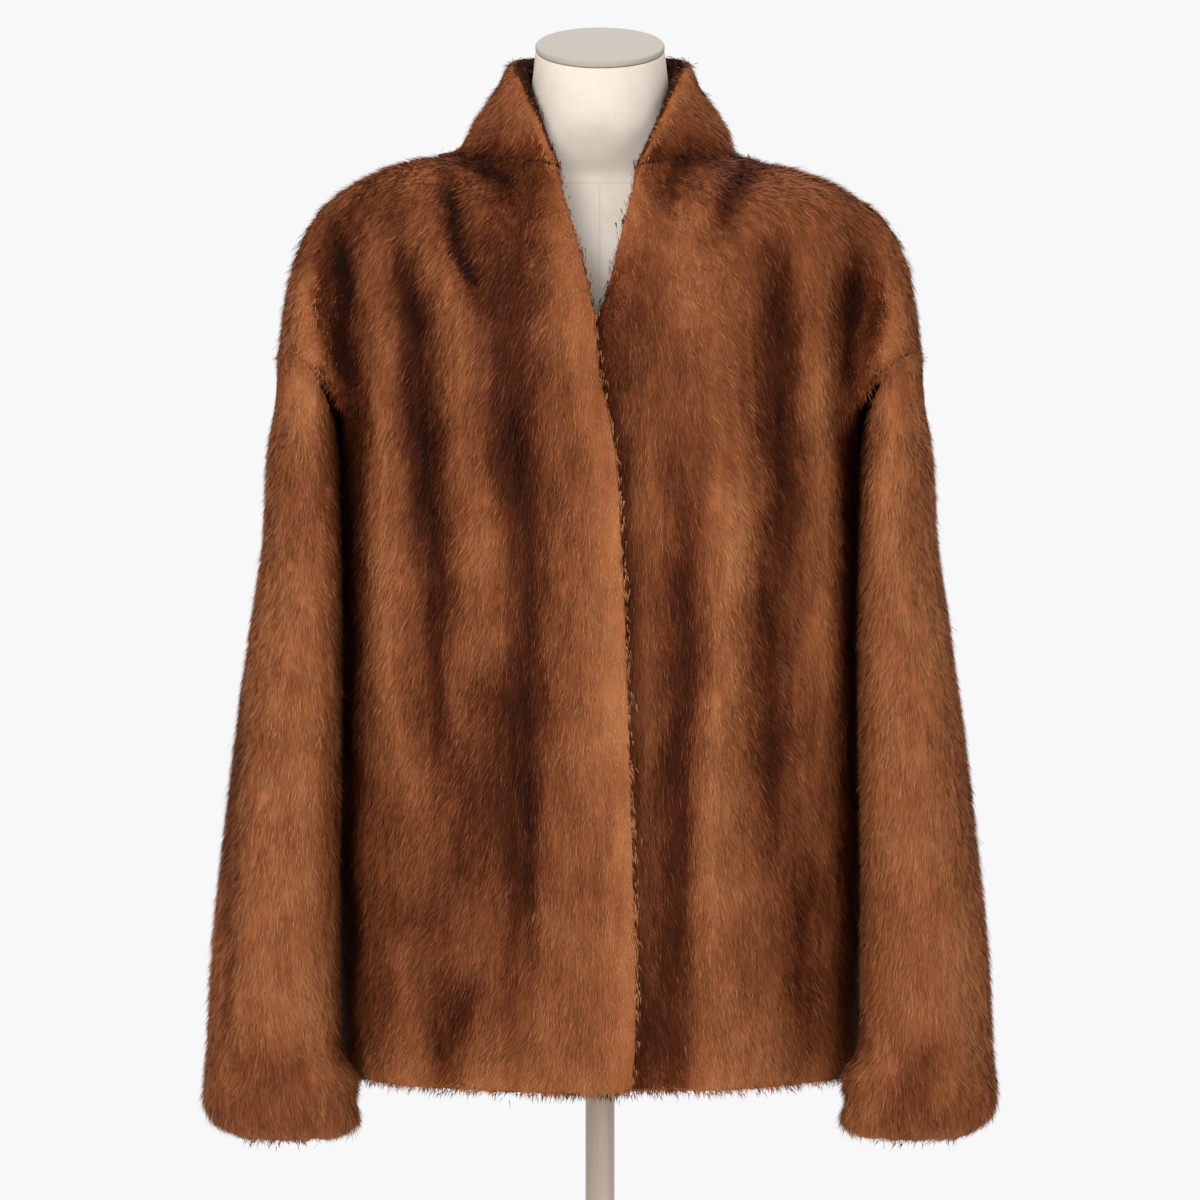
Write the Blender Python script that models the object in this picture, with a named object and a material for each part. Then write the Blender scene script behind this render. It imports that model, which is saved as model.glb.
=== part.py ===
"""A faux fur jacket worn by a limbless dress form on a round stand.

Run with: blender --background --python part.py
Metres, +Z up. The front of the jacket faces -Y and the wearer's right arm is at -X.
The origin is on the floor, under the middle of the stand. Outer faces of the cloth are
where the tips of the pile reach, so a wall is the knitted backing plus its laid pile.
"""

from collections import namedtuple
from math import cos, pi, radians, sin, tan

import bmesh
import bpy
import numpy as np

# ---------------------------------------------------------------- driving sizes
HEM_Z = 0.656
UNDERARM_Z = 1.120
NECK_POINT = (0.1246, 0.0, 1.3588)  # where shoulder seam, neckline and collar meet
ARMHOLE_TOP = (0.2460, -0.005, 1.2065)  # outer end of the dropped shoulder seam
PILE_WALL = 0.009  # backing and laid pile, one layer
FOLDED_EDGE = 0.015  # front edges, where facing and front lie pile outwards
COLLAR_RIM = 0.018
HEM_FOLD = 0.012
SEAM_GAP = 0.0003
SHOULDER_DROP = 0.0055
REST_GAP = 0.0004  # between the cloth's inside and the form's shoulders

RING_CENTRE_Y = 0.050  # the body is widest behind its middle, clear of the sleeves
FRONT_ROUND = 2.2  # exponents of the body's superellipse, front and back halves
BACK_ROUND = 2.6
LAP_LIFT = 0.006  # the wearer's right front lies over the left one
LAP_DROP = 0.0105

POLE_RADIUS = 0.011
BASE_RADIUS = 0.180
BASE_THICK = 0.008
HUB_RADIUS = 0.024
HUB_TOP = 0.034
FLANGE_Z = 0.690
FORM_BOTTOM = 0.712
NECK_TILT = radians(21.0)
CAP_THICK = 0.005

# ---------------------------------------------------------------- tables
# Horizontal sections of the closed jacket, hem to underarm.
Section = namedtuple("Section", "z half_width front back")
BODY = [
    Section(0.656, 0.2040, 0.1460, 0.1260),
    Section(0.750, 0.2055, 0.1480, 0.1280),
    Section(0.850, 0.2065, 0.1490, 0.1280),
    Section(0.950, 0.2050, 0.1500, 0.1280),
    Section(1.050, 0.2040, 0.1510, 0.1290),
    Section(1.120, 0.2025, 0.1500, 0.1300),
]

# Heights of the rows of points up to the underarm; the first three round the hem.
BODY_ROW_HEIGHTS = [0.656, 0.6595, 0.665, *(0.656 + 0.0505 * k for k in range(1, 9)), 1.102, 1.120]
YOKE_ROWS = 12
NORMAL_PASSES = 2

# The free front edges: x of each at height z. The right one is on top.
Edge = namedtuple("Edge", "z x")
RIGHT_EDGE = [
    Edge(0.656, 0.0165), Edge(0.6595, 0.0225), Edge(0.665, 0.0262), Edge(0.690, 0.0287),
    Edge(0.740, 0.0282), Edge(0.800, 0.0265), Edge(0.900, 0.0235),
    Edge(1.014, 0.0200), Edge(1.077, 0.0165), Edge(1.120, 0.0145), Edge(1.150, 0.0105),
    Edge(1.186, 0.0030), Edge(1.223, 0.0000), Edge(1.260, -0.0075), Edge(1.300, -0.0180),
    Edge(1.3436, -0.0340),
]  # fmt: skip
LEFT_EDGE = [
    Edge(0.656, -0.0450), Edge(0.850, -0.0470), Edge(1.000, -0.0470), Edge(1.120, -0.0400),
    Edge(1.180, -0.0220), Edge(1.243, 0.0000), Edge(1.302, 0.0150), Edge(1.3436, 0.0300),
]  # fmt: skip
# Depth of the front edges above the underarm, as the jacket leans back to the neck.
EdgeDepth = namedtuple("EdgeDepth", "z y")
EDGE_DEPTH = [
    EdgeDepth(1.120, -0.1500), EdgeDepth(1.180, -0.1480), EdgeDepth(1.220, -0.1420),
    EdgeDepth(1.260, -0.1290), EdgeDepth(1.300, -0.1090), EdgeDepth(1.3436, -0.0800),
]  # fmt: skip

# Lines that run up a panel from the underarm row to its top edge, at four equal steps.
# x is the distance from the middle; the point on the underarm row comes from BODY.
Guide = namedtuple("Guide", "start x1 y1 z1 x2 y2 z2 x3 y3 z3 x4 y4 z4")
# The front's guides start at a distance x from the middle, the last two at a depth y.
FRONT_GUIDES = [
    Guide(0.055, 0.0570, -0.1430, 1.185, 0.0610, -0.1320, 1.248, 0.0690, -0.1040, 1.308, 0.0800, -0.0500, 1.3515),
    Guide(0.110, 0.1120, -0.1220, 1.190, 0.1160, -0.1080, 1.265, 0.1210, -0.0710, 1.332, *NECK_POINT),
    Guide(0.160, 0.1620, -0.0900, 1.190, 0.1680, -0.0800, 1.263, 0.1755, -0.0510, 1.322, 0.1780, 0.0000, 1.3435),
    Guide(-0.034, 0.1780, -0.0660, 1.160, 0.1960, -0.0480, 1.230, 0.2080, -0.0390, 1.286, 0.2174, 0.0000, 1.3144),
    Guide(-0.014, 0.1870, -0.0560, 1.152, 0.2020, -0.0730, 1.200, 0.2270, -0.0600, 1.245, 0.2375, -0.0020, 1.2720),
]  # fmt: skip
BACK_GUIDES = [
    Guide(0.000, 0.0000, 0.1310, 1.195, 0.0000, 0.1240, 1.265, 0.0000, 0.1070, 1.325, 0.0000, 0.0840, 1.3660),
    Guide(0.060, 0.0620, 0.1295, 1.195, 0.0660, 0.1200, 1.265, 0.0720, 0.0960, 1.325, 0.0750, 0.0580, 1.3630),
    Guide(0.115, 0.1170, 0.1220, 1.195, 0.1200, 0.1090, 1.268, 0.1240, 0.0700, 1.332, *NECK_POINT),
    Guide(0.165, 0.1670, 0.1080, 1.190, 0.1720, 0.0920, 1.262, 0.1765, 0.0520, 1.322, 0.1780, 0.0000, 1.3435),
    Guide(0.072, 0.2000, 0.0830, 1.166, 0.2050, 0.0680, 1.228, 0.2110, 0.0430, 1.286, 0.2174, 0.0000, 1.3144),
    Guide(0.030, 0.2030, 0.0670, 1.157, 0.2130, 0.0720, 1.206, 0.2270, 0.0530, 1.245, 0.2375, -0.0020, 1.2720),
]  # fmt: skip
# How each stretch between guides is divided, from the edge or the middle to the armhole.
EDGE_STEPS = [0.0, 0.045, 0.12, 0.30, 0.62, 1.0]
GUIDE_SPANS = [3, 3, 4, 2, 2]
MID_BACK_SPANS = 3

# Soft troughs (depth > 0) and ridges (depth < 0) that hang down the panels.
Fold = namedtuple("Fold", "x_top z_top x_low z_low depth width")
FRONT_FOLDS = [
    Fold(-0.152, 1.310, -0.112, 0.970, 0.0130, 0.016),
    Fold(-0.116, 1.356, -0.085, 1.220, 0.0110, 0.012),
    Fold(-0.066, 1.350, -0.052, 1.230, 0.0070, 0.013),
    Fold(-0.103, 1.290, -0.098, 1.080, -0.0060, 0.016),
    Fold(-0.168, 1.180, -0.150, 0.880, -0.0060, 0.016),
    Fold(-0.140, 0.940, -0.112, 0.800, -0.0050, 0.015),
    Fold(-0.059, 1.200, -0.045, 0.600, 0.0110, 0.014),
    Fold(-0.118, 0.780, -0.116, 0.590, 0.0080, 0.014),
    Fold(-0.146, 0.800, -0.140, 0.590, -0.0050, 0.014),
    Fold(0.136, 1.310, 0.134, 1.110, 0.0110, 0.015),
    Fold(0.112, 1.356, 0.080, 1.270, 0.0110, 0.012),
    Fold(0.068, 1.356, 0.044, 1.290, 0.0060, 0.011),
    Fold(0.066, 1.130, 0.048, 0.590, 0.0130, 0.013),
    Fold(0.104, 1.170, 0.076, 0.830, -0.0080, 0.014),
    Fold(0.158, 1.230, 0.170, 0.900, -0.0060, 0.015),
    Fold(0.122, 1.030, 0.126, 0.820, 0.0080, 0.015),
    Fold(0.150, 0.840, 0.148, 0.590, 0.0070, 0.015),
]
BACK_FOLDS = [
    Fold(-0.140, 1.300, -0.125, 0.900, 0.0090, 0.017),
    Fold(-0.085, 1.120, -0.080, 0.590, 0.0085, 0.019),
    Fold(-0.020, 1.240, -0.025, 0.780, -0.0050, 0.022),
    Fold(0.040, 1.080, 0.046, 0.590, 0.0085, 0.019),
    Fold(0.100, 1.260, 0.095, 0.860, -0.0055, 0.018),
    Fold(0.142, 1.300, 0.130, 0.590, 0.0085, 0.017),
]

# The sleeve hangs empty and flat at the top and rounds out to a gathered cuff.
Arm = namedtuple("Arm", "z inner outer centre_y half_depth")
SLEEVE = [
    Arm(1.155, 0.1995, 0.2538, -0.010, 0.078),
    Arm(1.109, 0.1990, 0.2556, -0.017, 0.077),
    Arm(1.064, 0.1970, 0.2575, -0.024, 0.076),
    Arm(1.018, 0.1955, 0.2630, -0.030, 0.074),
    Arm(0.973, 0.1950, 0.2686, -0.035, 0.072),
    Arm(0.928, 0.1948, 0.2757, -0.040, 0.070),
    Arm(0.883, 0.1953, 0.2805, -0.044, 0.068),
    Arm(0.838, 0.1960, 0.2852, -0.048, 0.066),
    Arm(0.794, 0.1962, 0.2900, -0.051, 0.064),
    Arm(0.749, 0.1955, 0.2948, -0.054, 0.062),
    Arm(0.705, 0.1950, 0.2965, -0.058, 0.060),
    Arm(0.676, 0.1950, 0.2980, -0.061, 0.060),
    Arm(0.657, 0.1920, 0.2990, -0.063, 0.060),
    Arm(0.645, 0.1830, 0.2990, -0.065, 0.060),
    Arm(0.635, 0.1780, 0.2965, -0.066, 0.057),
    Arm(0.626, 0.1800, 0.2900, -0.066, 0.051),
    Arm(0.619, 0.1900, 0.2800, -0.066, 0.043),
    Arm(0.6155, 0.1990, 0.2705, -0.066, 0.035),
    Arm(0.6148, 0.2035, 0.2660, -0.066, 0.0305),
    Arm(0.6152, 0.2070, 0.2625, -0.066, 0.0270),
]
SLEEVE_BLEND_ROWS = 4  # rows that turn from the tilted armhole to level sections
SLEEVE_ROUND = 2.4  # exponent of the sleeve's sections
SLEEVE_SHEAR = 0.12  # the back of the sleeve lies further out, round the body's side
ARMPIT_REACH = radians(85.0)  # how far up the armhole its fold faces down
ARMHOLE_RISE = 0.7  # below 1, the armhole climbs fastest beside the body
SleeveFold = namedtuple("SleeveFold", "angle z_top z_low depth width")
SLEEVE_FOLDS = [
    SleeveFold(115, 1.150, 0.960, 0.0040, 22),
    SleeveFold(70, 0.960, 0.680, -0.0035, 24),
    SleeveFold(150, 0.860, 0.640, 0.0045, 20),
    SleeveFold(250, 1.120, 0.820, 0.0045, 24),
    SleeveFold(300, 0.900, 0.650, 0.0040, 22),
]
CROSS_FOLDS = [(1.056, 0.0030, 0.016), (0.905, 0.0028, 0.018), (0.690, 0.0030, 0.014)]

# The collar, from each front's gorge seam (step 0) to the middle of the back (step 6).
CollarStep = namedtuple("CollarStep", "mid_x mid_y mid_z rim_x rim_y rim_z")
COLLAR = [
    CollarStep(0.0800, -0.0500, 1.3515, 0.0340, -0.0800, 1.3436),
    CollarStep(0.0990, -0.0200, 1.3775, 0.0500, -0.0600, 1.3840),
    CollarStep(0.0940, 0.0080, 1.3925, 0.0620, -0.0300, 1.4150),
    CollarStep(0.0850, 0.0380, 1.3990, 0.0680, 0.0060, 1.4290),
    CollarStep(0.0660, 0.0640, 1.4030, 0.0640, 0.0460, 1.4370),
    CollarStep(0.0370, 0.0820, 1.4050, 0.0390, 0.0735, 1.4400),
    CollarStep(0.0000, 0.0890, 1.4060, 0.0000, 0.0830, 1.4410),
]

# The dress form, a general woman's torso with no limbs.
FORM = [
    Section(0.712, 0.1250, 0.0800, 0.0880),
    Section(0.720, 0.1400, 0.0920, 0.1000),
    Section(0.750, 0.1560, 0.1020, 0.1050),
    Section(0.800, 0.1620, 0.1060, 0.1070),
    Section(0.860, 0.1530, 0.1050, 0.0990),
    Section(0.910, 0.1320, 0.0970, 0.0880),
    Section(0.955, 0.1200, 0.0910, 0.0820),
    Section(1.000, 0.1240, 0.0960, 0.0860),
    Section(1.060, 0.1370, 0.1120, 0.0940),
    Section(1.120, 0.1470, 0.1210, 0.0980),
    Section(1.180, 0.1530, 0.1140, 0.1020),
    Section(1.230, 0.1610, 0.0980, 0.1010),
    Section(1.270, 0.1700, 0.0800, 0.0920),
    Section(1.300, 0.1790, 0.0620, 0.0760),
    Section(1.318, 0.1820, 0.0500, 0.0600),
]
# Depths of the form where its shoulders carry the jacket. The points of the shoulder seam
# are counted from the neck.
ShoulderDepth = namedtuple("ShoulderDepth", "seam_point below front back")
FORM_SHOULDER = [
    ShoulderDepth(3, 0.0, 0.030, 0.034),
    ShoulderDepth(2, 0.0, 0.028, 0.032),
    ShoulderDepth(1, 0.001, 0.030, 0.034),
    ShoulderDepth(0, 0.004, 0.034, 0.040),
]
FORM_NECK = [
    Section(1.3540, 0.0850, 0.0420, 0.0540),
    Section(1.3650, 0.0650, 0.0480, 0.0570),
    Section(1.3800, 0.0560, 0.0530, 0.0560),
    Section(1.4050, 0.0528, 0.0545, 0.0555),
    Section(1.4355, 0.0495, 0.0530, 0.0530),
]
FORM_SIDES = 32


# ---------------------------------------------------------------- curves
def smooth_at(knots, values, where, crest=False):
    """A smooth curve through values at knots, read at where. A crest ends it level."""
    knots = np.asarray(knots, float)
    values = np.asarray(values, float)
    where = np.clip(np.atleast_1d(np.asarray(where, float)), knots[0], knots[-1])
    steps = np.diff(knots)
    slopes = np.diff(values, axis=0) / (steps[:, None] if values.ndim > 1 else steps)
    tangents = np.empty_like(values)
    tangents[0], tangents[-1] = slopes[0], slopes[-1]
    for k in range(1, len(knots) - 1):
        before, after = steps[k - 1], steps[k]
        tangents[k] = (slopes[k - 1] * after + slopes[k] * before) / (before + after)
    if crest:
        tangents[-1, 2] = 0
    k = np.clip(np.searchsorted(knots, where, side="right") - 1, 0, len(steps) - 1)
    t = (where - knots[k]) / steps[k]
    width = steps[k]
    if values.ndim > 1:
        t, width = t[:, None], width[:, None]
    return (
        (2 * t**3 - 3 * t**2 + 1) * values[k]
        + (t**3 - 2 * t**2 + t) * width * tangents[k]
        + (3 * t**2 - 2 * t**3) * values[k + 1]
        + (t**3 - t**2) * width * tangents[k + 1]
    )


def column_at(table, field, z):
    """A named column of a table whose rows are ordered by height, read at height z."""
    rows = sorted(table, key=lambda row: row.z)
    values = [getattr(row, field) for row in rows]
    return float(smooth_at([row.z for row in rows], values, z)[0])


def ease(t):
    t = np.clip(t, 0.0, 1.0)
    return t * t * (3 - 2 * t)


def unit(v):
    return v / np.maximum(np.linalg.norm(v, axis=-1, keepdims=True), 1e-12)


# ---------------------------------------------------------------- body sections
def body_section(z):
    return Section(z, *(column_at(BODY, name, z) for name in Section._fields[1:]))


def depth_of(section, x, back):
    """The y of the body's outline at a distance x from the middle."""
    exponent = BACK_ROUND if back else FRONT_ROUND
    share = (1 - min(abs(x) / section.half_width, 1.0) ** exponent) ** (1 / exponent)
    if back:
        return RING_CENTRE_Y + (section.back - RING_CENTRE_Y) * share
    return RING_CENTRE_Y - (section.front + RING_CENTRE_Y) * share


def width_of(section, y):
    """The distance from the middle of the body's outline at depth y."""
    back = y > RING_CENTRE_Y
    exponent = BACK_ROUND if back else FRONT_ROUND
    reach = section.back - RING_CENTRE_Y if back else section.front + RING_CENTRE_Y
    share = min(abs(y - RING_CENTRE_Y) / reach, 1.0)
    return section.half_width * (1 - share**exponent) ** (1 / exponent)


def body_point(z, start, by_depth, back):
    section = body_section(z)
    if by_depth:
        return np.array([width_of(section, start), start, z])
    return np.array([start, depth_of(section, start, back), z])


def armhole_point(angle):
    """A point of the armhole on the +X side: 0 under the arm, pi/2 in front, pi at the top."""
    under = body_point(UNDERARM_Z, 0.0, True, False)
    top = np.array(ARMHOLE_TOP)
    rise = abs(sin(angle / 2)) ** ARMHOLE_RISE
    middle, half = (under[0] + top[0]) / 2, (top[0] - under[0]) / 2
    tip_y = top[1] * sin(angle / 2) ** 2
    depth = SLEEVE[0].half_depth
    return np.array(
        [
            middle - half * cos(angle) - SLEEVE_SHEAR * depth * sin(angle),
            tip_y - depth * sin(angle),
            under[2] + (top[2] - under[2]) * rise,
        ]
    )


def guide_points(guide, by_depth, back, rows):
    """The points of one guide on every row of the panel, hem to top edge."""
    low = [body_point(z, guide.start, by_depth, back) for z in BODY_ROW_HEIGHTS]
    steps = np.array([low[-1], guide[1:4], guide[4:7], guide[7:10], guide[10:13]])
    crest = abs(steps[-1, 1]) < 0.003  # it ends on the shoulder seam
    return np.vstack([low, smooth_at(np.linspace(0, 1, 5), steps, rows, crest)])


def side_points(rows, back):
    """The side seam and then the armhole, which is the last column of a panel."""
    low = [body_point(z, 0.0, True, back) for z in BODY_ROW_HEIGHTS]
    turn = -1 if back else 1
    return np.vstack([low, [armhole_point(turn * pi * s) for s in rows]])


def edge_points(table, rows):
    """The free front edge of a front, hem to gorge seam."""
    low = []
    for z in BODY_ROW_HEIGHTS:
        x = column_at(table, "x", z)
        low.append([x, depth_of(body_section(z), x, False), z])
    top = UNDERARM_Z + rows * (EDGE_DEPTH[-1].z - UNDERARM_Z)
    high = [[column_at(table, "x", z), column_at(EDGE_DEPTH, "y", z), z] for z in top]
    return np.vstack([low, high])


def across(guides, spans):
    """Fills each row of points between the guides with smooth columns."""
    guides = np.array(guides).swapaxes(0, 1)
    rows = []
    for row in guides:
        chords = np.linalg.norm(np.diff(row, axis=0), axis=1)
        knots = np.concatenate([[0.0], np.cumsum(chords)])
        where = [knots[0]]
        for k, span in enumerate(spans):
            shares = span if isinstance(span, list) else np.linspace(0, 1, span + 1)
            where += [knots[k] + share * chords[k] for share in list(shares)[1:]]
        rows.append(smooth_at(knots, row, where))
    return np.array(rows)


# ---------------------------------------------------------------- grids of cloth
def grid_normals(points, closed=False):
    """Outward unit normals of a grid whose rows run up and whose columns run left to right."""
    if closed:
        along = np.roll(points, -1, axis=1) - np.roll(points, 1, axis=1)
    else:
        along = np.gradient(points, axis=1)
    return unit(np.cross(along, np.gradient(points, axis=0)))


def fold_shift(points, folds):
    """How far each point moves inwards for the folds of a panel."""
    x, z = points[..., 0], points[..., 2]
    shift = np.zeros(x.shape)
    for fold in folds:
        share = (fold.z_top - z) / (fold.z_top - fold.z_low)
        centre = fold.x_top + (fold.x_low - fold.x_top) * share
        fade = ease(share * 5) * ease((1 - share) * 5)
        shift += fold.depth * fade * np.exp(-(((x - centre) / fold.width) ** 2))
    return shift


def front_panel(side):
    """Outer points of a front, from its free edge to its side. side is -1 for the right one."""
    right = side < 0
    rows = np.linspace(0, 1, YOKE_ROWS + 1)[1:]
    edge = edge_points(RIGHT_EDGE if right else LEFT_EDGE, rows)
    edge[:, 0] *= side
    guides = [edge]
    guides += [guide_points(g, g.start < 0, False, rows) for g in FRONT_GUIDES]
    guides.append(side_points(rows, False))
    points = across(guides, [EDGE_STEPS, *GUIDE_SPANS])
    points[..., 0] *= side
    x, z = points[..., 0], points[..., 2]
    normals = grid_normals(points) * side
    closed_front = 1 - ease((z - 1.262) / 0.06)
    if right:
        shift = -LAP_LIFT * closed_front * ease((x + 0.058) / 0.034)
    else:
        shift = LAP_DROP * closed_front * ease((0.088 - x) / 0.046)
    calm = ease((np.arange(points.shape[1])[::-1]) / 4.0)[None, :]
    last = ease((points.shape[0] - 1 - np.arange(points.shape[0])) / 2.0)[:, None]
    shift = shift + fold_shift(points, FRONT_FOLDS) * calm * last
    return points - shift[..., None] * normals


def back_panel():
    """Outer points of the back, its columns running from +X to -X, so that it faces +Y."""
    rows = np.linspace(0, 1, YOKE_ROWS + 1)[1:]
    guides = [guide_points(g, k > 3, True, rows) for k, g in enumerate(BACK_GUIDES)]
    guides.append(side_points(rows, True))
    half = across(guides, [MID_BACK_SPANS, *GUIDE_SPANS])
    left = half[:, ::-1]
    right = half[:, 1:] * (-1, 1, 1)
    points = np.concatenate([left, right], axis=1)
    count = points.shape[1] - 1
    column = np.arange(count + 1)
    calm = ease(np.minimum(column, count - column) / 4.0)[None, :]
    last = ease((points.shape[0] - 1 - np.arange(points.shape[0])) / 2.0)[:, None]
    shift = fold_shift(points, BACK_FOLDS) * calm * last
    return points - shift[..., None] * grid_normals(points)


def sleeve_section(z, angle):
    """A point of the level sleeve section at height z on the +X side."""
    inner, outer, centre_y, half_depth = (
        column_at(SLEEVE[:6], name, z) for name in Arm._fields[1:]
    )
    return sleeve_point(Arm(z, inner, outer, centre_y, half_depth), angle)


def sleeve_point(arm, angle):
    middle, half = (arm.inner + arm.outer) / 2, (arm.outer - arm.inner) / 2
    across_share, along_share = (
        abs(part) ** (2 / SLEEVE_ROUND) * (1 if part > 0 else -1) for part in (cos(angle), sin(angle))
    )
    along = -arm.half_depth * along_share
    x = middle - half * across_share + SLEEVE_SHEAR * along
    return np.array([x, arm.centre_y + along, arm.z])


def sleeve_panel(side):
    """Outer points of a sleeve, cuff to armhole, its columns going round the arm."""
    rows = np.linspace(0, 1, YOKE_ROWS + 1)
    angles = np.concatenate([pi * rows, pi + pi * rows[1:-1]])
    grid = [[armhole_point(a) for a in angles]]
    level = SLEEVE[2].z
    for k in range(1, SLEEVE_BLEND_ROWS):
        share = k / SLEEVE_BLEND_ROWS
        row = []
        for a in angles:
            start = armhole_point(a)
            z = start[2] + (level - start[2]) * share
            point = sleeve_section(min(z, SLEEVE[0].z), a)
            point[2] = z
            weight = ease(share * 1.6)
            point[:2] = (1 - weight) * start[:2] + weight * point[:2]
            row.append(point)
        grid.append(row)
    grid += [[sleeve_point(arm, a) for a in angles] for arm in SLEEVE[2:]]
    points = np.array(grid)[::-1]
    points[..., 0] *= side
    normals = grid_normals(points, closed=True) * side
    degrees = np.degrees(angles)[None, :]
    z = points[..., 2]
    shift = np.zeros(z.shape)
    for fold in SLEEVE_FOLDS:
        share = (fold.z_top - z) / (fold.z_top - fold.z_low)
        fade = ease(share * 4) * ease((1 - share) * 4)
        turn = (degrees - fold.angle + 180) % 360 - 180
        shift += fold.depth * fade * np.exp(-((turn / fold.width) ** 2))
    away = ease((degrees - 40) / 30) * ease((330 - degrees) / 30)
    for height, depth, width in CROSS_FOLDS:
        shift += depth * np.exp(-(((z - height) / width) ** 2))
    return points - (shift * away)[..., None] * normals, angles


def collar_panel(gorge_right, neckline, gorge_left):
    """Outer points of the collar: rows run from the neckline seam to the rim."""
    share = np.linalg.norm(gorge_right - gorge_right[0], axis=1)
    share = share / share[-1]
    steps = COLLAR + COLLAR[-2::-1]
    columns = []
    for k, (base, step) in enumerate(zip(neckline, steps, strict=True)):
        side = -1 if k < len(COLLAR) else 1
        mid = np.array([side * step.mid_x, step.mid_y, step.mid_z])
        rim = np.array([side * step.rim_x, step.rim_y, step.rim_z])
        columns.append(smooth_at([0, 0.5, 1], [base, mid, rim], share))
    columns[0], columns[-1] = gorge_right, gorge_left
    return np.array(columns).swapaxes(0, 1)


# ---------------------------------------------------------------- walls
class Panel:
    """A cut piece: a grid of outer points, which way each faces, and how thick it is there.

    The seams are paths of grid places, each with the step that leads into the piece.
    """

    def __init__(self, points, facing, folded, seams, closed=False):
        self.points = points
        self.normals = grid_normals(points, closed) * facing
        self.closed = closed
        self.seams = seams
        self.thick = np.full(points.shape[:2], PILE_WALL)
        self.edge = np.full(points.shape[:2], 1.0)
        for distance, full in folded:
            near = 1 - ease((distance - 0.6 * full) / 0.028)
            self.thick = np.maximum(self.thick, PILE_WALL + (full - PILE_WALL) * near)
            self.edge = np.minimum(self.edge, distance)

    def gaps(self):
        """Moves seam places into the piece by half of the gap, square to the seam."""
        push = np.zeros(self.points.shape)
        for path, (down, left) in self.seams:
            line = np.array([self.points[place] for place in path])
            if self.closed:
                along = np.roll(line, -1, axis=0) - np.roll(line, 1, axis=0)
            else:
                along = np.gradient(line, axis=0)
            for (i, j), direction in zip(path, unit(along), strict=True):
                inward = self.points[i + down, j + left] - self.points[i, j]
                # under the arm only the side of the fold tells the body from the sleeve
                outward = 0.25 if self.closed else -0.25
                inward[0] += outward * np.sign(self.points[i, j, 0]) * np.linalg.norm(inward)
                square = np.cross(self.normals[i, j], direction)
                if np.linalg.norm(square) < 0.25:  # the side seam meets the fold under the arm
                    square = inward - direction * (inward @ direction)
                push[i, j] += unit(square) * np.sign(square @ inward) * SEAM_GAP / 2
        return push

    def skins(self):
        """The outer and the inner grid of the wall, with its folded edges rounded."""
        radius = self.thick / 2
        inside = np.clip(radius - self.edge, 0.0, radius * 0.86)
        soften = radius - np.sqrt(radius**2 - inside**2)
        push = self.gaps()
        outer = self.points - soften[..., None] * self.normals + push
        inner = self.points - (self.thick - soften)[..., None] * self.normals + push
        return outer, inner


def soften_normals(panels):
    """Evens out which way neighbouring places face, so that the inner grid stays whole."""
    for panel in panels:
        around = np.pad(panel.normals, ((1, 1), (0, 0), (0, 0)), mode="edge")
        rows = around[:-2] + around[2:]
        sides = "wrap" if panel.closed else "edge"
        around = np.pad(panel.normals, ((0, 0), (1, 1), (0, 0)), mode=sides)
        panel.normals = unit(2 * panel.normals + rows + around[:, :-2] + around[:, 2:])


def from_row(points, row):
    """The distance of each place from a row, along the piece."""
    steps = np.linalg.norm(np.diff(points, axis=0), axis=2)
    along = np.vstack([np.zeros(points.shape[1]), np.cumsum(steps, axis=0)])
    return np.abs(along - along[row])


def from_column(points, column):
    """The distance of each place from a column, across the piece."""
    return from_row(points.swapaxes(0, 1), column).T


def spot_of(point):
    return tuple(np.round(point, 6) + 0.0)


def fold_under_arm():
    """Low on the armhole the body and the sleeve hang face to face, and their fold faces down.

    For each such point: which way the fold faces, square to the seam, and how much it counts.
    """
    facings = {}
    for step in range(-YOKE_ROWS // 2, YOKE_ROWS // 2 + 1):
        angle = pi * step / YOKE_ROWS
        along = unit(armhole_point(angle + 0.05) - armhole_point(angle - 0.05))
        facing = unit(np.array([0.0, 0.0, -1.0]) + along * along[2])
        weight = float(1 - ease(abs(angle) / ARMPIT_REACH))
        for side in (-1, 1):
            spot = spot_of(armhole_point(angle) * (side, 1, 1))
            facings[spot] = (facing * (side, 1, 1), weight)
    for side in (-1, 1):
        spot = spot_of(body_point(BODY_ROW_HEIGHTS[-2], 0.0, True, False) * (side, 1, 1))
        facings[spot] = (np.array([0.9 * side, 0.0, -0.44]), 1.0)
    return facings


def share_seams(panels):
    """Gives places where several pieces meet one direction and one thickness."""
    found, under_arm = {}, fold_under_arm()
    for panel in panels:
        places = {place for path, _ in panel.seams for place in path}
        for place in places:
            found.setdefault(spot_of(panel.points[place]), []).append((panel, place))
    for spot, shared in found.items():
        normal = unit(sum(panel.normals[place] for panel, place in shared))
        if spot in under_arm:
            facing, weight = under_arm[spot]
            normal = unit(normal * (1 - weight) + facing * weight)
        thick = sum(panel.thick[place] for panel, place in shared) / len(shared)
        edge = min(panel.edge[place] for panel, place in shared)
        for panel, place in shared:
            panel.normals[place] = normal
            panel.thick[place] = thick
            panel.edge[place] = edge


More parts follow.
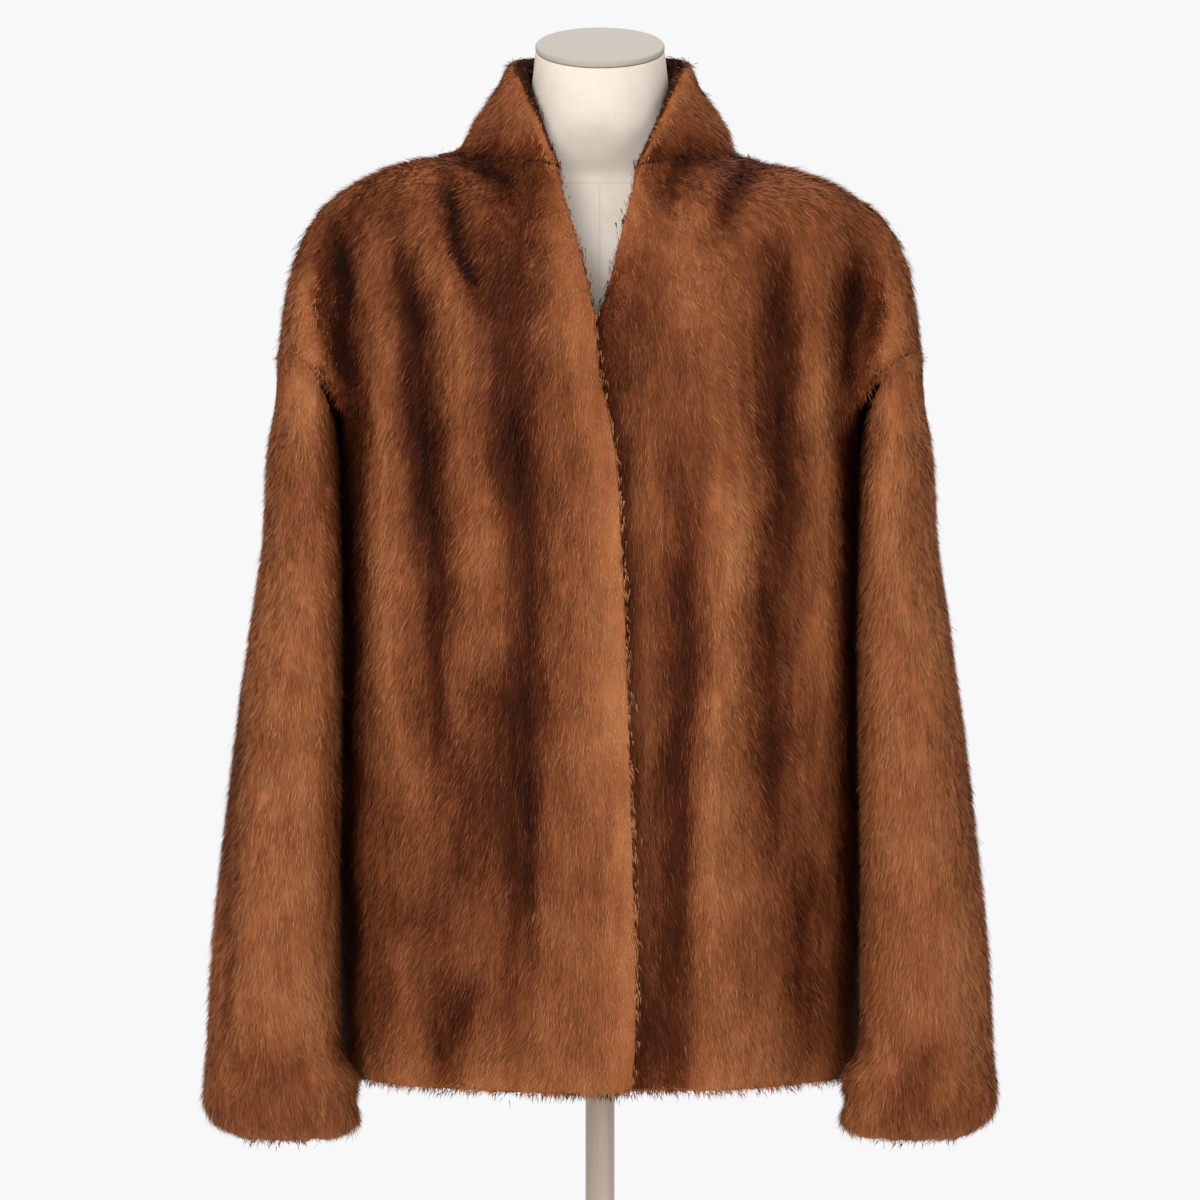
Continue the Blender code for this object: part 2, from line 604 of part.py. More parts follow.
# ---------------------------------------------------------------- meshes
def add_part(name, mesh, colour, roughness):
    """Makes an object with its own material from a closed mesh."""
    bmesh.ops.recalc_face_normals(mesh, faces=mesh.faces)
    data = bpy.data.meshes.new(name)
    mesh.to_mesh(data)
    mesh.free()
    material = bpy.data.materials.new(name)
    material.use_nodes = True
    shader = material.node_tree.nodes["Principled BSDF"]
    shader.inputs["Base Color"].default_value = (*colour, 1)
    shader.inputs["Roughness"].default_value = roughness
    material.diffuse_color = (*colour, 1)
    data.materials.append(material)
    data.polygons.foreach_set("use_smooth", [True] * len(data.polygons))
    obj = bpy.data.objects.new(name, data)
    parts.objects.link(obj)
    return obj


def add_wall(name, panel, colour):
    """A closed wall between the outer and the inner grid of a cut piece."""
    mesh = bmesh.new()
    outer, inner = ([[mesh.verts.new(p) for p in row] for row in skin] for skin in panel.skins())
    rows, columns = panel.thick.shape
    last = columns if panel.closed else columns - 1
    quads, borders = [], []
    for j in range(last):
        k = (j + 1) % columns
        for i in range(rows - 1):
            quads.append([outer[i][j], outer[i][k], outer[i + 1][k], outer[i + 1][j]])
            quads.append([inner[i][j], inner[i + 1][j], inner[i + 1][k], inner[i][k]])
        borders += [((i, j), (i, k)) for i in (0, rows - 1)]
    if not panel.closed:
        borders += [((i, j), (i + 1, j)) for j in (0, columns - 1) for i in range(rows - 1)]
    for quad in quads:
        mesh.faces.new(quad)
    deep = panel.points - panel.thick[..., None] * panel.normals
    for pair in borders:  # both sides of a seam are cut along the same, shorter diagonal
        one, two = sorted(pair, key=lambda place: spot_of(panel.points[place]))
        lengths = [np.linalg.norm(panel.points[a] - deep[b]) for a, b in ((one, two), (two, one))]
        (i, j), (k, n) = (two, one) if lengths[1] < lengths[0] - 1e-6 else (one, two)
        mesh.faces.new([outer[i][j], inner[i][j], inner[k][n]])
        mesh.faces.new([outer[i][j], inner[k][n], outer[k][n]])
    return add_part(name, mesh, colour, 0.9)


def add_rings(name, rings, colour, roughness):
    """A closed solid through a stack of rings, with a flat end below and above."""
    mesh = bmesh.new()
    loops = [[mesh.verts.new(p) for p in ring] for ring in rings]
    sides = len(loops[0])
    for low, high in zip(loops, loops[1:]):
        for j in range(sides):
            k = (j + 1) % sides
            mesh.faces.new([low[j], low[k], high[k], high[j]])
    mesh.faces.new(loops[0][::-1])
    mesh.faces.new(loops[-1])
    return add_part(name, mesh, colour, roughness)


def add_turned(name, profile, sides, colour, roughness):
    """A closed solid turned round Z from a profile of (radius, z) that starts and ends on it."""
    mesh = bmesh.new()
    loops = []
    for radius, z in profile:
        if radius == 0:
            loops.append([mesh.verts.new((0, 0, z))])
            continue
        turns = [2 * pi * k / sides for k in range(sides)]
        loops.append([mesh.verts.new((radius * cos(t), radius * sin(t), z)) for t in turns])
    for low, high in zip(loops, loops[1:]):
        for j in range(sides):
            k = (j + 1) % sides
            face = [low[j % len(low)], low[k % len(low)], high[k % len(high)], high[j % len(high)]]
            mesh.faces.new(list(dict.fromkeys(face)))
    return add_part(name, mesh, colour, roughness)


def form_ring(section, tilt=0.0, centre_y=0.0):
    """One section of the dress form, tipped forward by tilt round its own middle."""
    ring = []
    for k in range(FORM_SIDES):
        turn = 2 * pi * k / FORM_SIDES
        depth = section.back if sin(turn) > 0 else section.front
        y = depth * sin(turn)
        ring.append((section.half_width * cos(turn), centre_y + y, section.z + y * tan(tilt)))
    return ring


def drop_left_shoulder(points):
    """The wearer's left shoulder hangs a little lower than the right one."""
    x, z = points[..., 0], points[..., 2]
    share = ease((x - 0.095) / 0.030) * (1 - ease((x - 0.200) / 0.036)) * ease((z - 1.24) / 0.07)
    lower = np.array(points)
    lower[..., 2] -= SHOULDER_DROP * share
    return lower


# ---------------------------------------------------------------- the jacket
right = front_panel(-1)
left = drop_left_shoulder(front_panel(1))
back = drop_left_shoulder(back_panel())

top = right.shape[0] - 1
side_column = right.shape[1] - 1
neck_column = len(EDGE_STEPS) - 1 + GUIDE_SPANS[0]
under_row = len(BODY_ROW_HEIGHTS) - 1
back_middle = (back.shape[1] - 1) // 2
back_neck = MID_BACK_SPANS + GUIDE_SPANS[0]
back_side = back.shape[1] - 1

# The shoulder seams have the same points on both sides.
shoulder = side_column - neck_column
back[top, : shoulder + 1] = left[top, neck_column:][::-1]
back[top, back_side - shoulder :] = right[top, neck_column:]

neckline = back[top, back_middle - back_neck : back_middle + back_neck + 1][::-1]
collar = collar_panel(right[top, neck_column::-1], neckline, left[top, neck_column::-1])
collar_top, collar_end = collar.shape[0] - 1, collar.shape[1] - 1
sleeve_right, sleeve_angles = sleeve_panel(-1)
sleeve_left, _ = sleeve_panel(1)
armhole_row = sleeve_right.shape[0] - 1


def front_seams():
    return [
        ([(i, side_column) for i in range(under_row + 1)], (0, -1)),
        ([(i, side_column) for i in range(under_row, top + 1)], (0, -1)),
        ([(top, j) for j in range(neck_column, side_column + 1)], (-1, 0)),
        ([(top, j) for j in range(neck_column + 1)], (-1, 0)),
    ]


def front_folds(points):
    return [(from_column(points, 0), FOLDED_EDGE), (from_row(points, 0), HEM_FOLD)]


back_seams = [
    ([(i, 0) for i in range(under_row + 1)], (0, 1)),
    ([(i, 0) for i in range(under_row, top + 1)], (0, 1)),
    ([(i, back_side) for i in range(under_row + 1)], (0, -1)),
    ([(i, back_side) for i in range(under_row, top + 1)], (0, -1)),
    ([(top, j) for j in range(shoulder + 1)], (-1, 0)),
    ([(top, j) for j in range(shoulder, back_side - shoulder + 1)], (-1, 0)),
    ([(top, j) for j in range(back_side - shoulder, back_side + 1)], (-1, 0)),
]
collar_seams = [
    ([(i, 0) for i in range(collar_top + 1)], (0, 1)),
    ([(i, collar_end) for i in range(collar_top + 1)], (0, -1)),
    ([(0, j) for j in range(collar_end + 1)], (1, 0)),
]
sleeve_seams = [([(armhole_row, j) for j in range(len(sleeve_angles))], (-1, 0))]


def sleeve(points, side):
    folded = [(from_row(points, 0), PILE_WALL)]
    return Panel(points, side, folded, sleeve_seams, closed=True)


panels = {
    "front_right": Panel(right, -1, front_folds(right), front_seams()),
    "front_left": Panel(left, 1, front_folds(left), front_seams()),
    "back": Panel(back, 1, [(from_row(back, 0), HEM_FOLD)], back_seams),
    "collar": Panel(collar, -1, [(from_row(collar, collar_top), COLLAR_RIM)], collar_seams),
    "sleeve_right": sleeve(sleeve_right, -1),
    "sleeve_left": sleeve(sleeve_left, 1),
}
for _ in range(NORMAL_PASSES):
    share_seams(panels.values())
    soften_normals(panels.values())
share_seams(panels.values())

for old in list(bpy.data.objects):
    bpy.data.objects.remove(old)
parts = bpy.data.collections.new("faux_fur_coat_on_form")
bpy.context.scene.collection.children.link(parts)

FUR = (0.26, 0.095, 0.04)
for part_name, part_panel in panels.items():
    add_wall(part_name, part_panel, FUR)

# ---------------------------------------------------------------- the form and its stand
seam_inside = panels["front_left"].skins()[1][top, neck_column:]
torso = [form_ring(section) for section in FORM]
for row in FORM_SHOULDER:
    x, _, z = seam_inside[row.seam_point]
    torso.append(form_ring(Section(z - REST_GAP - row.below, x, row.front, row.back)))
for section in FORM_NECK:
    share = float(ease((section.z - FORM_NECK[0].z) / (FORM_NECK[-1].z - FORM_NECK[0].z)))
    torso.append(form_ring(section, NECK_TILT * share))
add_rings("dress_form", torso, (0.55, 0.47, 0.36), 0.9)

neck_top = FORM_NECK[-1]
cap = []
for lift, grow in ((0.0003, -0.0008), (0.0010, 0.0), (CAP_THICK - 0.0008, 0.0), (CAP_THICK, -0.0012)):
    section = Section(
        neck_top.z + lift, neck_top.half_width + grow, neck_top.front + grow, neck_top.back + grow
    )
    cap.append(form_ring(section, NECK_TILT))
add_rings("neck_cap", cap, (0.50, 0.42, 0.32), 0.7)

pole_profile = [
    (0, 0.0063), (POLE_RADIUS, 0.0063), (POLE_RADIUS, FLANGE_Z), (0.016, FLANGE_Z + 0.004),
    (0.048, FORM_BOTTOM - 0.007), (0.050, FORM_BOTTOM - 0.004),
    (0.050, FORM_BOTTOM - SEAM_GAP), (0, FORM_BOTTOM - SEAM_GAP),
]  # fmt: skip
add_turned("pole", pole_profile, 32, (0.20, 0.17, 0.15), 0.45)

socket = POLE_RADIUS + SEAM_GAP
base_profile = [
    (0, 0.0), (BASE_RADIUS - 0.001, 0.0), (BASE_RADIUS, 0.001), (BASE_RADIUS, BASE_THICK - 0.003),
    (BASE_RADIUS - 0.003, BASE_THICK), (HUB_RADIUS + 0.006, BASE_THICK + 0.001),
    (HUB_RADIUS, BASE_THICK + 0.005), (HUB_RADIUS, HUB_TOP - 0.002),
    (HUB_RADIUS - 0.002, HUB_TOP), (socket, HUB_TOP), (socket, 0.006), (0, 0.006),
]  # fmt: skip
add_turned("base", base_profile, 48, (0.18, 0.16, 0.15), 0.45)
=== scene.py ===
# %% [markdown]
# # A faux fur coat on a dress form
# A short coat of mink-like faux fur hangs on a dress form. Faux fur is a knitted backing with a
# dense pile of soft fibres that all lean one way, the nap. What the eye reads as fur is the pile:
# dark where it parts or folds in, light where a fold pushes it out, and spiky along every edge.
# A bump pattern alone would leave the outline smooth. So each cut piece becomes a thin pelt on
# its solid's form, and short strands are grown on it, a tuft at a time.

from collections import namedtuple
from math import pi, radians

import bmesh
import bpy
import numpy as np
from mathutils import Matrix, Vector
from mathutils.kdtree import KDTree


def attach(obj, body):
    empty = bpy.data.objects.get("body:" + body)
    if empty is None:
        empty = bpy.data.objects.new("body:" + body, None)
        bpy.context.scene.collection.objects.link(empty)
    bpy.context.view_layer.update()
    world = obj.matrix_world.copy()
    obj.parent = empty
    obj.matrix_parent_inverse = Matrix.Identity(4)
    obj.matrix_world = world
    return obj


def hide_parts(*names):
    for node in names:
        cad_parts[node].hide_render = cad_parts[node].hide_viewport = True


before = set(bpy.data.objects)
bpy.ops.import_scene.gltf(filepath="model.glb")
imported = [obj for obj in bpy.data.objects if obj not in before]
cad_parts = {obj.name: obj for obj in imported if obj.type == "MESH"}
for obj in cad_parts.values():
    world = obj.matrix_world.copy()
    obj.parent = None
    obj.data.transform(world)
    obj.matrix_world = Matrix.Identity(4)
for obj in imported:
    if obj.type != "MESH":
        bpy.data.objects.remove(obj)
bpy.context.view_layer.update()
scene = bpy.context.scene

# %% [markdown]
# ## The camera
# The photograph looks straight at the coat from chest height, with a long lens, and stops above
# the foot of the stand. A long lens keeps both sleeves the same size.

# %% Make the camera
camera_data = bpy.data.cameras.new("camera")
camera_data.sensor_width = 36
camera_data.lens = 126.3  # with the camera 3.2 m away, the view is 0.91 m wide at the pole
camera = bpy.data.objects.new("camera", camera_data)
camera.location = (0, -3.2, 1.018)
camera.rotation_euler = (radians(90), 0, 0)
scene.collection.objects.link(camera)
scene.camera = camera
print("view at the pole, m", round(3.2 * camera_data.sensor_width / camera_data.lens, 3))


# %% [markdown]
# ## Helpers for colours and nodes
# Blender's sockets hold linear light, and a colour picker gives sRGB hex, so one function turns
# one into the other. A second one adds a node, sets it and links it.

# %% Colour and node helpers
def linear(hex_colour):
    """An sRGB hex colour as linear red, green, blue and alpha."""
    parts = [int(hex_colour[i : i + 2], 16) / 255 for i in (1, 3, 5)]
    return [c / 12.92 if c <= 0.04045 else ((c + 0.055) / 1.055) ** 2.4 for c in parts] + [1]


def add_node(tree, kind, links=None, values=None, **settings):
    """A new node with its settings, its inputs' values and the links that feed it."""
    node = tree.nodes.new(kind)
    for name, value in settings.items():
        setattr(node, name, value)
    for name, value in (values or {}).items():
        node.inputs[name].default_value = value
    for name, output in (links or {}).items():
        tree.links.new(output, node.inputs[name])
    return node


def new_material(name, **shader_values):
    """A material whose Principled shader has these values; its tree and its shader."""
    material = bpy.data.materials.new(name)
    material.use_nodes = True
    shader = material.node_tree.nodes["Principled BSDF"]
    for socket, value in shader_values.items():
        shader.inputs[socket.replace("_", " ")].default_value = value
    return material, material.node_tree, shader


# %% [markdown]
# ## From solid to pelt
# The solids reach as far as the tips of the pile. Their outer skin is drawn in by the depth of
# the pile, which leaves a thin pelt. To do that, each point has to know whether it is on the
# outside or the inside of the wall, and whether it is on a seam. The inside faces the wearer,
# and a seam has another piece's edge 0.3 mm away.

# %% Where the wearer would be
CLOTH = ["front_right", "front_left", "back", "collar", "sleeve_right", "sleeve_left"]
PILE_DEPTH = 0.0042  # how far the laid pile stands off its backing
FACING_DEPTH = 0.0030  # the same where the pile turns in round a free edge
CRUSHED_DEPTH = 0.0012  # the same where sleeve and body press against each other
COLLAR_ROLL = 0.0025  # how much fuller the rolled edge of the collar is
ROLL_REACH, ROLL_FOOT = 0.030, 1.362  # how far in from the edge it rolls, and from what height
FACING_REACH = 0.022  # how far in from a free edge the pile still turns round it
SEAM_REACH = 0.0011  # points nearer than this to another piece are on a seam
ARM_MIDDLE = 0.234  # how far the middle of each arm is from the coat's own middle
WRIST, ARMPIT = 0.665, 1.135  # heights between which an arm's middle line runs
SLEEVE_SLANT = 0.105  # how much further forward a sleeve hangs for each metre down
CHEST_SIDE, CHEST_TOP = 0.12, 1.2  # how far out and up the chest's middle reaches
ARMHOLE_FOOT = 1.16


def inside_points(name, p):
    """For points of a piece, points in the wearer's space that its inner side faces."""
    x, z = p[:, 0], p[:, 2]
    if name.startswith("sleeve"):
        height = np.clip(z, WRIST, ARMPIT)
        forward = -0.010 - (1.155 - height) * SLEEVE_SLANT
        return np.stack([np.sign(x) * ARM_MIDDLE, forward, height], 1)
    if name == "collar":
        return np.stack([0 * x, 0 * x + 0.004, z], 1)
    across = np.clip(x, -CHEST_SIDE, CHEST_SIDE)
    return np.stack([across, 0 * x + 0.02, np.minimum(z, CHEST_TOP)], 1)


def unit(v):
    """Vectors of length 1."""
    return v / np.maximum(np.linalg.norm(v, axis=-1, keepdims=True), 1e-9)


def ease(t):
    """A soft step: 0 up to t = 0, 1 from t = 1 on, without a corner."""
    t = np.clip(t, 0.0, 1.0)
    return t * t * (3 - 2 * t)


# %% A smooth random field
def waves(p, seed, sizes=(0.11, 0.06, 0.034)):
    """A smooth random value from -1 to 1 at each point, with waves of these lengths."""
    draw = np.random.default_rng(seed)
    total = 0
    for size in sizes:
        for _ in range(3):
            way = unit(draw.normal(size=3)) * 2 * pi / size
            total = total + np.sin(p @ way + draw.uniform(0, 2 * pi))
    return total / (3 * len(sizes)) ** 0.5 / 1.2


# %% [markdown]
# ## Creases and ridges
# Where cloth this thick folds, it makes soft troughs and ridges. A trough lies in shade and a
# ridge catches the light, and both are painted into the nap's colour: painted shade in a trough,
# painted light on a ridge. Each one is a line down the front or the back, through points that are
# given in metres to the side of the middle and above the floor. It has a width, a depth (a
# ridge's is below zero) and its tone, the painted light along it (painted shade where below zero).

# %% Folds of the front and of the back
# tone: the painted light along a fold, or its painted shade where the tone is below zero
Fold = namedtuple("Fold", "line width depth tone")
FRONT_FOLDS = [
    # painted shadow between the right sleeve and the body, from the shoulder down, in a shallow
    # groove at the top
    Fold([(-0.195, 1.3), (-0.192, 1.26), (-0.19, 1.21), (-0.188, 1.165)], 0.0058, 0.004, -0.95),
    Fold([(-0.188, 1.19), (-0.186, 0.9), (-0.187, 0.65)], 0.0065, 0.0, -0.6),
    # painted shade on the shoulder, which looks down into its own pile
    Fold([(-0.225, 1.25), (-0.19, 1.3), (-0.13, 1.33)], 0.024, 0.0, -0.34),
    # painted shade along the pleat that runs from under the collar, and on the lapel beside it
    Fold([(-0.116, 1.345), (-0.111, 1.303), (-0.098, 1.272), (-0.086, 1.236)], 0.0055, 0.003, -0.75),
    Fold([(-0.104, 1.348), (-0.086, 1.342), (-0.072, 1.332), (-0.066, 1.31)], 0.007, 0.002, -0.45),
    Fold([(-0.074, 1.345), (-0.07, 1.25), (-0.06, 1.15), (-0.052, 1.06)], 0.022, 0.0, -0.46),
    # long troughs of the right front, with painted shade
    Fold([(-0.15, 1.3), (-0.141, 1.244), (-0.133, 1.163), (-0.127, 1.09)], 0.009, 0.004, -0.32),
    Fold([(-0.13, 1.13), (-0.122, 1.06), (-0.119, 0.95), (-0.122, 0.88)], 0.008, 0.003, -0.26),
    Fold([(-0.05, 1.12), (-0.046, 1.06), (-0.046, 0.95), (-0.052, 0.83), (-0.05, 0.69)],
         0.011, 0.004, -0.3),
    Fold([(-0.084, 0.99), (-0.076, 0.93), (-0.084, 0.84), (-0.096, 0.78)], 0.02, 0.001, -0.34),
    Fold([(-0.108, 0.9), (-0.118, 0.82), (-0.13, 0.76)], 0.016, 0.001, -0.14),
    Fold([(-0.082, 0.756), (-0.1, 0.712), (-0.122, 0.668)], 0.008, 0.002, -0.26),
    Fold([(-0.15, 0.76), (-0.158, 0.7)], 0.012, 0.001, -0.14),
    Fold([(-0.168, 1.18), (-0.174, 1.08)], 0.012, 0.0, -0.1),
    # ridges beside them, with painted light
    Fold([(-0.164, 1.23), (-0.158, 1.12), (-0.158, 0.96), (-0.15, 0.84)], 0.012, -0.002, 0.12),
    Fold([(-0.118, 1.29), (-0.108, 1.22), (-0.096, 1.11)], 0.01, -0.0015, 0.12),
    Fold([(-0.086, 1.08), (-0.08, 1.03)], 0.012, -0.001, 0.14),
    Fold([(-0.112, 0.99), (-0.104, 0.93)], 0.01, -0.001, 0.06),
    # the left front, beside the lap and outwards: painted light on ridges, painted shade in troughs
    Fold([(0.035, 1.2), (0.035, 0.98), (0.034, 0.69)], 0.011, -0.001, 0.3),
    Fold([(0.066, 1.11), (0.061, 0.98), (0.056, 0.84), (0.05, 0.67)], 0.007, 0.004, -0.22),
    Fold([(0.104, 1.14), (0.094, 1.0), (0.08, 0.88), (0.072, 0.74)], 0.011, -0.002, 0.2),
    Fold([(0.138, 1.31), (0.137, 1.2), (0.133, 1.12), (0.128, 1.05)], 0.011, 0.003, -0.32),
    Fold([(0.168, 1.23), (0.17, 1.1), (0.166, 0.9)], 0.014, -0.001, 0.18),
    Fold([(0.118, 1.08), (0.124, 0.96), (0.128, 0.84)], 0.011, 0.002, -0.22),
    Fold([(0.144, 0.86), (0.15, 0.78), (0.146, 0.7)], 0.012, 0.001, -0.16),
    Fold([(0.098, 0.8), (0.112, 0.7)], 0.01, 0.001, -0.14),
    Fold([(0.116, 1.348), (0.104, 1.33), (0.092, 1.312), (0.084, 1.29)], 0.007, 0.002, -0.5),
    Fold([(0.075, 1.362), (0.058, 1.338), (0.042, 1.306)], 0.007, 0.002, -0.4),
    Fold([(0.11, 1.3), (0.094, 1.25), (0.084, 1.19)], 0.012, 0.001, -0.14),
    # painted shade on the left shoulder; below it, painted shadow between the left sleeve and the
    # body
    Fold([(0.225, 1.25), (0.19, 1.3), (0.13, 1.33)], 0.02, 0.0, -0.12),
    Fold([(0.189, 1.28), (0.188, 1.22), (0.187, 1.165)], 0.0058, 0.003, -0.6),
    Fold([(0.187, 1.19), (0.187, 0.9), (0.188, 0.65)], 0.0062, 0.0, -0.55),
    # hollows of the sleeves, with painted shade; then painted light down the left sleeve's outer
    # side and low across the left front
    Fold([(-0.222, 1.125), (-0.222, 1.06)], 0.016, 0.001, -0.12),
    Fold([(-0.23, 0.94), (-0.226, 0.88)], 0.014, 0.001, -0.14),
    Fold([(-0.262, 0.98), (-0.27, 0.86), (-0.274, 0.76), (-0.275, 0.69)], 0.0065, 0.002, -0.2),
    Fold([(-0.272, 0.96), (-0.284, 0.84), (-0.29, 0.74), (-0.288, 0.67)], 0.011, 0.0, -0.14),
    Fold([(-0.27, 0.69), (-0.24, 0.668), (-0.2, 0.676)], 0.014, 0.001, -0.2),
    Fold([(0.256, 0.712), (0.238, 0.672), (0.212, 0.64)], 0.01, 0.002, -0.2),
    Fold([(0.262, 1.06), (0.276, 0.96), (0.286, 0.8)], 0.009, 0.001, -0.14),
    Fold([(0.298, 1.0), (0.306, 0.7)], 0.012, 0.0, 0.34),
    Fold([(0.08, 0.7), (0.15, 0.69)], 0.014, 0.0, 0.16),
]
BACK_FOLDS = [
    # troughs with painted shade and ridges with painted light, down the back and its sleeves
    Fold([(-0.15, 1.3), (-0.136, 1.1), (-0.128, 0.86)], 0.012, 0.004, -0.3),
    Fold([(-0.076, 1.16), (-0.088, 0.9), (-0.078, 0.67)], 0.012, 0.004, -0.28),
    Fold([(-0.022, 1.28), (-0.032, 1.0), (-0.024, 0.76)], 0.02, -0.002, 0.12),
    Fold([(0.038, 1.11), (0.052, 0.9), (0.044, 0.67)], 0.012, 0.004, -0.28),
    Fold([(0.1, 1.26), (0.098, 1.05), (0.088, 0.82)], 0.016, -0.002, 0.14),
    Fold([(0.15, 1.3), (0.14, 1.0), (0.13, 0.67)], 0.012, 0.004, -0.3),
    Fold([(-0.196, 1.27), (-0.19, 1.18)], 0.008, 0.003, -0.26),
    Fold([(0.196, 1.27), (0.19, 1.18)], 0.008, 0.003, -0.26),
    Fold([(0.01, 1.36), (0.004, 1.24)], 0.026, 0.0, -0.12),
    Fold([(-0.244, 1.02), (-0.25, 0.82)], 0.012, 0.002, -0.14),
    Fold([(0.24, 0.96), (0.25, 0.74)], 0.012, 0.002, -0.14),
]
# the gathers of both cuffs, short and close, all round them, each with a little painted shade
CUFF_GATHERS = [-0.040, -0.027, -0.015, -0.002, 0.010, 0.024, 0.038]  # from the cuff's middle
CUFF_MIDDLE = 0.246
for folds in (FRONT_FOLDS, BACK_FOLDS):
    for middle in (-CUFF_MIDDLE, CUFF_MIDDLE):
        for k, x in enumerate(CUFF_GATHERS):
            top = 0.650 + 0.006 * (k % 3)
            folds.append(Fold([(middle + x, 0.612), (middle + x * 0.9, top)], 0.0042, 0.002, -0.12))
print(len(FRONT_FOLDS), "folds in front,", len(BACK_FOLDS), "behind, gathers included")

# %% How folds act on the cloth
# Above FOLDS_BELOW a fold has no depth and only paints light and shade on the nap; its painted light
# and shade fade out over a soft border wider than the fold.
FOLDS_BELOW = 1.31  # above this the cloth lies on the form and only the nap changes
HALO_WIDTH = 2.8  # the nap darkens gently this many times further than the fold is wide
HALO_SHARE = 0.34  # how much of a wide fold's tone lies in that soft border
FOLD_ENDS = 0.25  # the share of its length over which a fold fades at each end
FADED = 0.12  # what is left of it there
FOLD_WANDER = 0.003  # how far a fold strays from its line


def along_line(x, z, line):
    """How far points are from a line of points, and where along it, from 0 to 1."""
    far, share = np.full(len(x), 9.0), np.zeros(len(x))
    steps = len(line) - 1
    for k, ((x0, z0), (x1, z1)) in enumerate(zip(line, line[1:])):
        dx, dz = x1 - x0, z1 - z0
        t = np.clip(((x - x0) * dx + (z - z0) * dz) / (dx * dx + dz * dz), 0, 1)
        d = np.hypot(x - x0 - t * dx, z - z0 - t * dz)
        closer = d < far
        far[closer], share[closer] = d[closer], (k + t[closer]) / steps
    return far, share


def folds_at(p, away):
    """Depth of the folds, and the painted light and shade along them, at points whose outer side
    faces away.
    """
    x, z = p[:, 0] + FOLD_WANDER * waves(p, 21, (0.07, 0.04)), p[:, 2]
    depth, tone = np.zeros(len(p)), np.zeros(len(p))
    for folds, side in ((FRONT_FOLDS, -1), (BACK_FOLDS, 1)):
        shown = ease((side * away[:, 1] + 0.04) / 0.44)  # none reaches round to the sides
        for fold in folds:
            far, along = along_line(x, z, fold.line)
            ends = ease(along / FOLD_ENDS) * ease((1 - along) / FOLD_ENDS)
            ends = shown * (FADED + (1 - FADED) * ends)
            core = ends * np.exp(-((far / fold.width) ** 2))
            halo = ends * np.exp(-((far / (HALO_WIDTH * fold.width)) ** 2))
            depth += fold.depth * core
            share = HALO_SHARE * ease((fold.width - 0.004) / 0.006)
            tone += fold.tone * ((1 - share) * core + share * halo)
    return depth * ease((FOLDS_BELOW - z) / 0.04), tone


# %% Merged copies of the solids
def merged_copy(name):
    """The solid's mesh with its loose triangles joined."""
    mesh = bmesh.new()
    mesh.from_mesh(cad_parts[name].data)
    bmesh.ops.remove_doubles(mesh, verts=mesh.verts, dist=1e-5)
    bmesh.ops.recalc_face_normals(mesh, faces=mesh.faces)
    return mesh


solids = {name: merged_copy(name) for name in CLOTH}
places = {name: np.array([v.co for v in mesh.verts]) for name, mesh in solids.items()}


def tree_of(points):
    """A search tree that finds the nearest of some points."""
    tree = KDTree(len(points))
    for k, p in enumerate(points):
        tree.insert(p, k)
    tree.balance()
    return tree


def on_seam(name):
    """Which points of a piece have another piece's point just across a seam."""
    tree = tree_of(np.vstack([places[other] for other in CLOTH if other != name]))
    return np.array([tree.find(p)[2] < SEAM_REACH for p in places[name]])


# %% Outer side, inner side and rims
OUTER, INNER, SEAM_RIM, EDGE_RIM = range(4)


def sides_of(name, mesh, seam):
    """Marks each face as outer, inner or a rim, and tells which points are outer ones."""
    facing = np.zeros(len(mesh.verts))
    centres = np.array([f.calc_center_median() for f in mesh.faces])
    away = unit(centres - inside_points(name, centres))
    for f, direction in zip(mesh.faces, away):
        turn = f.normal.dot(Vector(direction)) * f.calc_area()
        for v in f.verts:
            facing[v.index] += turn
    outer = facing > 0
    for f in mesh.faces:
        kinds = {bool(outer[v.index]) for v in f.verts}
        if len(kinds) > 1:
            f.material_index = SEAM_RIM if all(seam[v.index] for v in f.verts) else EDGE_RIM
        else:
            f.material_index = OUTER if kinds == {True} else INNER
        f.smooth = True
    return outer


# %% Draw the outer side in
def crushed(name, p, normal):
    """From 0 to 1, how far the pile is pressed flat between the sleeve and the body."""
    if name == "collar":
        return 0.0
    to_sleeve = normal[0] * (1 if p[0] > 0 else -1)
    if name.startswith("sleeve"):
        to_sleeve = -to_sleeve
    return float(ease((to_sleeve - 0.35) / 0.4) * ease((ARMHOLE_FOOT - p[2]) / 0.06))


def draw_in(name, mesh, outer, seam):
    """Moves the furred side of the wall in by the depth of the pile."""
    tree = tree_of([
        v.co.copy()
        for v in mesh.verts
        if any(f.material_index == EDGE_RIM for f in v.link_faces)
    ])
    moves = []
    for v in mesh.verts:
        skin = [f for f in v.link_faces if f.material_index != SEAM_RIM]
        normal = sum((f.normal * f.calc_area() for f in skin), Vector()).normalized()
        near = float(1 - ease(tree.find(v.co)[2] / FACING_REACH))
        depth = PILE_DEPTH if outer[v.index] else FACING_DEPTH * near
        if outer[v.index]:
            depth += (CRUSHED_DEPTH - PILE_DEPTH) * crushed(name, v.co, normal)
        if name == "collar" and not outer[v.index]:
            depth = FACING_DEPTH * 0.8
        elif name == "collar":
            rolled = 1 - ease(tree.find(v.co)[2] / ROLL_REACH)
            rolled *= ease((v.co.z - ROLL_FOOT) / 0.035)
            depth -= (PILE_DEPTH + COLLAR_ROLL) * float(rolled)
        if seam[v.index]:
            depth *= 1 - 0.6 * near
        moves.append(normal * depth)
    for v, move in zip(mesh.verts, moves):
        v.co -= move


